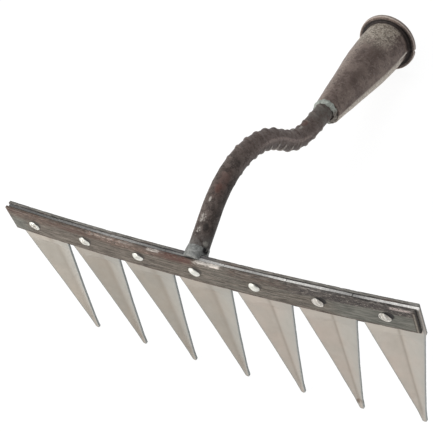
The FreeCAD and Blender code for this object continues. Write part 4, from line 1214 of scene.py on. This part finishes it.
def socket_profile():
    """Rows depth from the mouth, radius, kind: bore, flange with its hem, skin, small end."""
    rows = [(d, BORE_END_RADIUS + (SOCKET_LENGTH - d) * (BORE_RADIUS - BORE_END_RADIUS)
             / (SOCKET_LENGTH - BORE_TAPER), BORE) for d in np.linspace(91.9, BORE_TAPER, 60)]
    rows += [(d, BORE_RADIUS, BORE) for d in np.linspace(23.0, 0.5, 24)]
    rows += [(0.16, 14.53, FLANGE_FRONT), (0.02, 14.66, FLANGE_FRONT)]
    rows += [(0.0, r, FLANGE_FRONT) for r in np.linspace(15.2, 19.6, 8)]
    # rolled hem: two rounded lips with a groove between them
    rows += [(0.62 - 0.62 * math.cos(a), 20.03 + 0.62 * math.sin(a), LIP)
             for a in np.radians((20, 45, 70, 90))]
    rows += [(0.92, 20.60, LIP), (1.10, 20.38, HEM_GROOVE), (1.25, 20.30, HEM_GROOVE),
             (1.40, 20.38, HEM_GROOVE), (1.56, 20.58, LIP)]
    rows += [(1.86 + 0.54 * math.cos(a), 20.06 + 0.54 * math.sin(a), LIP)
             for a in np.radians((90, 65, 40, 15))]
    rows += [(FLANGE_BACK, r, FLANGE_REAR) for r in np.linspace(19.7, 17.3, 8)]
    rows += [(FLANGE_BACK + FILLET_RADIUS * (1 - math.sin(a)),
              16.12 + FILLET_RADIUS * (1 - math.cos(a)), FILLET)
             for a in np.radians((80, 60, 40, 20, 0))]
    rows += [(d, MOUTH_RADIUS, SKIN) for d in np.linspace(3.9, PARALLEL_END, 16)]
    # circle through both ends of the curved part, bulging outwards
    run, drop = CURVE_END - PARALLEL_END, MOUTH_RADIUS - CURVE_END_RADIUS
    chord = math.hypot(run, drop)
    inward = math.sqrt(CURVE_RADIUS ** 2 - (chord / 2) ** 2)
    centre_depth = (PARALLEL_END + CURVE_END) / 2 - drop / chord * inward
    centre_radius = (MOUTH_RADIUS + CURVE_END_RADIUS) / 2 - run / chord * inward
    rows += [(d, centre_radius + math.sqrt(CURVE_RADIUS ** 2 - (d - centre_depth) ** 2), SKIN)
             for d in np.linspace(12.6, CURVE_END, 56)]
    rows += [(d, CURVE_END_RADIUS - (d - CURVE_END) * (CURVE_END_RADIUS - END_RADIUS)
              / (SOCKET_LENGTH - CURVE_END), SKIN) for d in np.linspace(45.6, 91.4, 84)]
    rows += [(91.85, 8.9, SMALL_END), (SOCKET_LENGTH, 8.6, SMALL_END),
             (SOCKET_LENGTH, 8.0, SMALL_END), (91.98, 7.56, SMALL_END)]
    return np.array(rows)


def socket(material):
    """Rolled cone with a hemmed flange and a lapped seam low on the right."""
    depth, radius, kind, angle = np.broadcast_arrays(
        *np.hsplit(socket_profile(), 3), np.linspace(-np.pi, np.pi, 200, endpoint=False))
    past_seam = wrap(angle - SEAM)
    arc = past_seam * radius
    skin, bore = kind == SKIN, kind == BORE
    hem = np.isin(kind, (LIP, HEM_GROOVE))
    flange = hem | np.isin(kind, (FLANGE_REAR, FLANGE_FRONT))
    cos, sin = np.cos(angle), np.sin(angle)

    # dents everywhere, and forged flats along the cone
    point = np.stack([radius * cos, radius * sin, depth], -1)
    dents = (0.30 * (fbm(point * 0.055, 81, 2) - 0.15) + 0.10 * fbm(point * 0.16, 83, 3)
             + 0.03 * fbm(point * 0.7, 85, 3))
    dents = np.clip(dents, -0.35, 0.10)
    flats = -0.10 * (0.5 - 0.5 * np.cos(angle * 9.0 + 0.8)) * smooth(depth, 14, 30)
    outside = np.isin(kind, (SKIN, FILLET, SMALL_END))
    amount = np.where(outside, smooth(depth, 3.0, 8.0) * 0.7 + 0.3, np.where(bore, 0.6, 0.12))
    shaped = radius + (dents + np.where(skin, flats, 0.0)) * amount

    # seam: the sheet's edge laps over, with a thin open line beside it
    lap = (1 - smooth(arc, 0.0, 3.0)) * smooth(arc, -0.55, -0.05)
    line = bell(arc + 0.75, 0.40)
    near_mouth = 1 - smooth(depth, 9.0, 17.0)
    far = 1 - smooth(depth, 80.0, 90.0) * 0.5
    step = lap * (0.16 + 0.50 * near_mouth) * far - line * (0.14 + 0.6 * near_mouth) * far
    shaped = shaped + np.where(skin, step, 0.0) - np.where(bore, line * 0.35, 0.0)
    # notch where the two ends of the flange meet; flange a little wavy and out of round
    notch = bell(arc + 0.4, 0.9)
    ripple = 0.05 * np.sin(4 * angle + 1) - 0.05
    shaped = shaped + np.where(hem, ripple - notch * 0.8, 0.0)
    wave = (0.16 * np.sin(2 * angle + 0.7) + 0.10 * np.sin(3 * angle + 2.0)
            + 0.05 * np.sin(5 * angle))
    deep = (depth - np.where(kind == FLANGE_REAR, notch * 0.5, 0.0)
            + np.where(kind == FLANGE_FRONT, notch * 0.35, 0.0)
            + np.where(flange, np.clip(wave, 0.0, 0.3) * (radius - 15.0) / 5.6, 0.0))

    out = np.array([0.0, math.cos(DIP), -math.sin(DIP)])
    up = np.array([0.0, math.sin(DIP), math.cos(DIP)])
    rings = (MOUTH + (shaped * cos)[..., None] * np.array([1.0, 0, 0])
             + (shaped * sin)[..., None] * up - deep[..., None] * out)

    below = -np.degrees(past_seam)         # degrees below the seam
    # painted reflection of the floor on the lower flank below the seam
    seam = np.where(skin | (kind == SMALL_END),
                    window(below, -6.0, 3.0, 46.0, 80.0) * 0.9 * smooth(depth, 6.0, 16.0), 0.0)
    # cut edge by the flange, brightened near-white as a painted highlight
    sliver = np.where(skin | (kind == FILLET),
                      bell(arc - 0.2, 0.75) * window(depth, 5.0, 8.0, 13.0, 20.0), 0.0)
    groove = np.where(skin, line * (0.15 + 0.75 * near_mouth), (kind == HEM_GROOVE) * 0.75)
    # sooty back of the flange and the skin beside it, darkened as painted shade, weaker where the
    # key light falls; painted rim light on the flange's outer rim
    lit = window(np.degrees(angle), 30.0, 70.0, 105.0, 140.0)
    soot = np.select([kind == FLANGE_REAR, kind == FILLET, skin],
                     [1.0, 0.85, 0.8 * (1 - smooth(depth, 3.8, 6.5)) * (1 - 0.8 * lit)], 0.0)
    outer = np.where(kind == FLANGE_REAR,
                     smooth(radius, 17.7 + 0.5 * (1 - lit), 19.2) * (0.5 + 0.5 * lit), 0.0)
    attributes = {"bar": np.stack([depth, arc, angle], -1), "pos": rings, "inner": bore * 1.0,
                  "seam": seam, "sliver": sliver, "groove": groove, "soot": soot * (1 - sliver),
                  "hem": (kind == LIP) * 0.85, "outer": outer}
    build("socket_cone", rings, attributes, "handle_socket", material,
          sharp=45, closed=True)


# ---------------------------------------------------------------------- welds
# Weld shapes are worked out in the row frame, in mm.
WELD_AXIS_Z = 33.3                         # height of the socket weld's axis


def mesh_vectors(mesh, field):
    values = np.zeros(len(mesh.vertices) * 3)
    mesh.vertices.foreach_get(field, values)
    return values.reshape(-1, 3)


def weld(node_name, name, material, voxel, swell, pit, stain=None):
    """The CAD weld remeshed finely, then swollen and given one pit (centre, radius, depth)."""
    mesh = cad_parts[node_name].data.copy()
    mesh.name = name
    ob = add_object(name, mesh)
    remesh = ob.modifiers.new("remesh", "REMESH")
    remesh.mode = "VOXEL"
    remesh.voxel_size = voxel
    soften = ob.modifiers.new("soft", "SMOOTH")
    soften.iterations = 3
    soften.factor = 0.5
    bake_modifiers(ob)
    mesh = ob.data
    mesh.materials.clear()
    points = mesh_vectors(mesh, "co")
    normals = mesh_vectors(mesh, "normal")
    place = points * 1000.0
    centre, radius, depth = pit
    hollow = np.exp(-(((place - centre) ** 2).sum(1) / radius ** 2))
    shift = swell(place) - depth * hollow
    points = points + normals * (shift / 1000.0)[:, None]
    mesh.vertices.foreach_set("co", points.ravel())
    add_point_data(mesh, {"pos": place, "stain": stain(place) if stain else np.zeros(len(place)),
                          "pit": np.clip(hollow * 1.3, 0, 1)})
    mesh.update()
    shade_smooth(mesh)
    mesh.materials.append(material)
    register(ob, node_name)


def bar_weld_swell(place):
    return 0.35 * fbm(place * 0.22, 31, 3) + 0.12 * fbm(place * 0.8, 33, 3) - 0.05


def round_socket_weld(place):
    return np.arctan2(place[:, 2] - WELD_AXIS_Z, place[:, 0])


def socket_weld_swell(place):
    """Ripples round the bead; fuller at the top left, thinner at the right."""
    angle = round_socket_weld(place)
    ripples = 0.20 * np.cos(angle * 15.0 + 2.0 * fbm(place * 0.1, 41, 2))
    swell = (0.75 * smooth(np.sin(angle - 0.55), 0.0, 0.8)
             - 0.5 * smooth(np.cos(angle + 0.35), 0.6, 0.95))
    lumps = 0.35 * fbm(place * 0.30, 37, 3) + 0.16 * fbm(place * 1.1, 39, 3)
    return lumps + ripples + swell - 0.25


def socket_weld_stain(place):
    """Brown on the right-hand side."""
    return smooth(np.cos(round_socket_weld(place) + 0.30), 0.45, 0.85)


# ----------------------------------------------------------------- all pieces
front_steel = strip_material("front_strip_scale", front=True)
rear_steel = strip_material("rear_strip_scale", front=False)
clamp_strip("front_strip", radius=BOW_RADIUS, thick=FRONT_THICK, left=135.1, right=134.3,
            top=10.45, bottom=9.45, seed=3, material=front_steel, front=True)
clamp_strip("rear_strip", radius=BOW_RADIUS - FRONT_THICK - GAP, thick=REAR_THICK, left=135.0,
            right=134.9, top=10.5, bottom=15.6, seed=13, material=rear_steel, front=False)
blade_steel = blade_material()
for place in PLACES:
    blade(place, blade_steel)
rivet_steel = rivet_material()
for place in PLACES:
    rivet(place, rivet_steel)
neck(neck_material())
socket(socket_material())
weld("neck_to_bar_weld", "weld_collar_at_bar",
     weld_material("bar_weld_metal", grey=(114, 115, 113), pale=(152, 153, 150),
                   dark=(62, 58, 55), stain_strength=0.25, roughness=0.50),
     voxel=0.00028, swell=bar_weld_swell,
     pit=(to_row(np.array([6.6, 4.8, 11.0])) * 1000.0, 2.3, 1.0))
weld("neck_to_socket_weld", "weld_bead_at_socket",
     weld_material("socket_weld_metal", grey=(140, 144, 137), pale=(186, 191, 183),
                   dark=(80, 76, 69), stain_strength=0.30, roughness=0.52),
     voxel=0.00030, swell=socket_weld_swell,
     pit=(np.array([8.4, -84.6, 33.0]), 1.8, 1.0), stain=socket_weld_stain)


# ------------------------------------------------------------- floor and light
WHITE = (1.0, 1.0, 1.0, 1)


def glowing_paper(tree, grey, glow):
    """Diffuse grey with an even glow added."""
    paper = node(tree, "BsdfDiffuse", {0: (grey, grey, grey, 1)})
    light = node(tree, "Emission", {0: WHITE, 1: glow})
    return node(tree, "AddShader", {0: paper.outputs[0], 1: light.outputs[0]}).outputs[0]


def by_camera_ray(tree, lighting, seen):
    """One shader for lighting the scene, another for what the camera sees."""
    rays = node(tree, "LightPath")
    made = node(tree, "MixShader", {0: rays.outputs["Is Camera Ray"], 1: lighting, 2: seen})
    return made.outputs[0]


def add_floor():
    lo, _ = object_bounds()
    bm = bmesh.new()
    bmesh.ops.create_grid(bm, x_segments=8, y_segments=8, size=3.0)
    mesh = bpy.data.meshes.new("studio_floor")
    bm.to_mesh(mesh)
    bm.free()
    floor = add_object("studio_floor", mesh)
    floor.location = (0.0, -0.1, min(cad_lo.z, lo.z) - 0.0002)
    material = bpy.data.materials.new("studio_floor_paper")
    tree = blank_tree(material)
    surface = by_camera_ray(tree, lighting=glowing_paper(tree, grey=0.80, glow=0.30),
                            seen=glowing_paper(tree, grey=0.16, glow=0.90))
    node(tree, "OutputMaterial", {0: surface})
    mesh.materials.append(material)


def add_world():
    """White to the camera; lights the scene most from the upper left front."""
    world = bpy.data.worlds.new("studio")
    bpy.context.scene.world = world
    tree = blank_tree(world)
    direction = node(tree, "TexCoord").outputs["Generated"]
    facing = node(tree, "VectorMath", {0: direction, 1: Vector((-0.70, -0.45, 0.55)).normalized()},
                  operation="DOT_PRODUCT")
    strength = smooth_range(tree, facing.outputs["Value"], lo=-0.9, hi=1.0, low=0.14, high=0.66)
    sky = node(tree, "Background", {0: (0.97, 0.985, 1.0, 1), "Strength": strength})
    backdrop = node(tree, "Background", {0: WHITE, 1: 1.0})
    surface = by_camera_ray(tree, lighting=sky.outputs[0], seen=backdrop.outputs[0])
    node(tree, "OutputWorld", {0: surface})


def area_light(name, location, size, power, colour):
    """Rectangular lamp aimed at the middle of the head."""
    light = bpy.data.lights.new(name, "AREA")
    light.shape = "RECTANGLE"
    light.size, light.size_y = size
    light.energy = power
    light.color = colour
    ob = add_object(name, light)
    ob.location = location
    aim = Vector((0.0, -0.13, 0.05)) - Vector(location)
    ob.rotation_euler = aim.to_track_quat("-Z", "Y").to_euler()


def add_camera():
    """Long lens above, in front and to the right; its pose is given in the bar frame."""
    data = bpy.data.cameras.new("camera")
    camera = add_object("camera", data)
    position = Vector(to_row(np.array([371.21, -336.12, 561.99])))
    forward = Vector(tilt([-0.4891944, 0.4813024, -0.7273492])).normalized()
    up = Vector(tilt([-0.2007502, 0.7494206, 0.6309264])).normalized()
    right = forward.cross(up).normalized()
    up = right.cross(forward).normalized()
    turn = Matrix((right, up, -forward)).transposed()
    camera.matrix_world = Matrix.Translation(position) @ turn.to_4x4()
    data.sensor_fit = "HORIZONTAL"
    data.sensor_width = 36.0
    data.lens = 111.517441
    data.shift_x = 0.000196305
    data.shift_y = 0.000524249
    data.clip_start, data.clip_end = 0.01, 20.0
    bpy.context.scene.camera = camera


add_floor()
add_world()
area_light("key_left_front", location=(-0.75, -1.05, 0.55), size=(0.8, 0.6), power=10.0,
           colour=(1.0, 0.975, 0.94))
area_light("top_soft", location=(-0.2, 0.35, 1.2), size=(1.1, 0.7), power=5.0,
           colour=(0.97, 0.985, 1.0))
add_camera()
bpy.context.scene.view_settings.view_transform = "Standard"
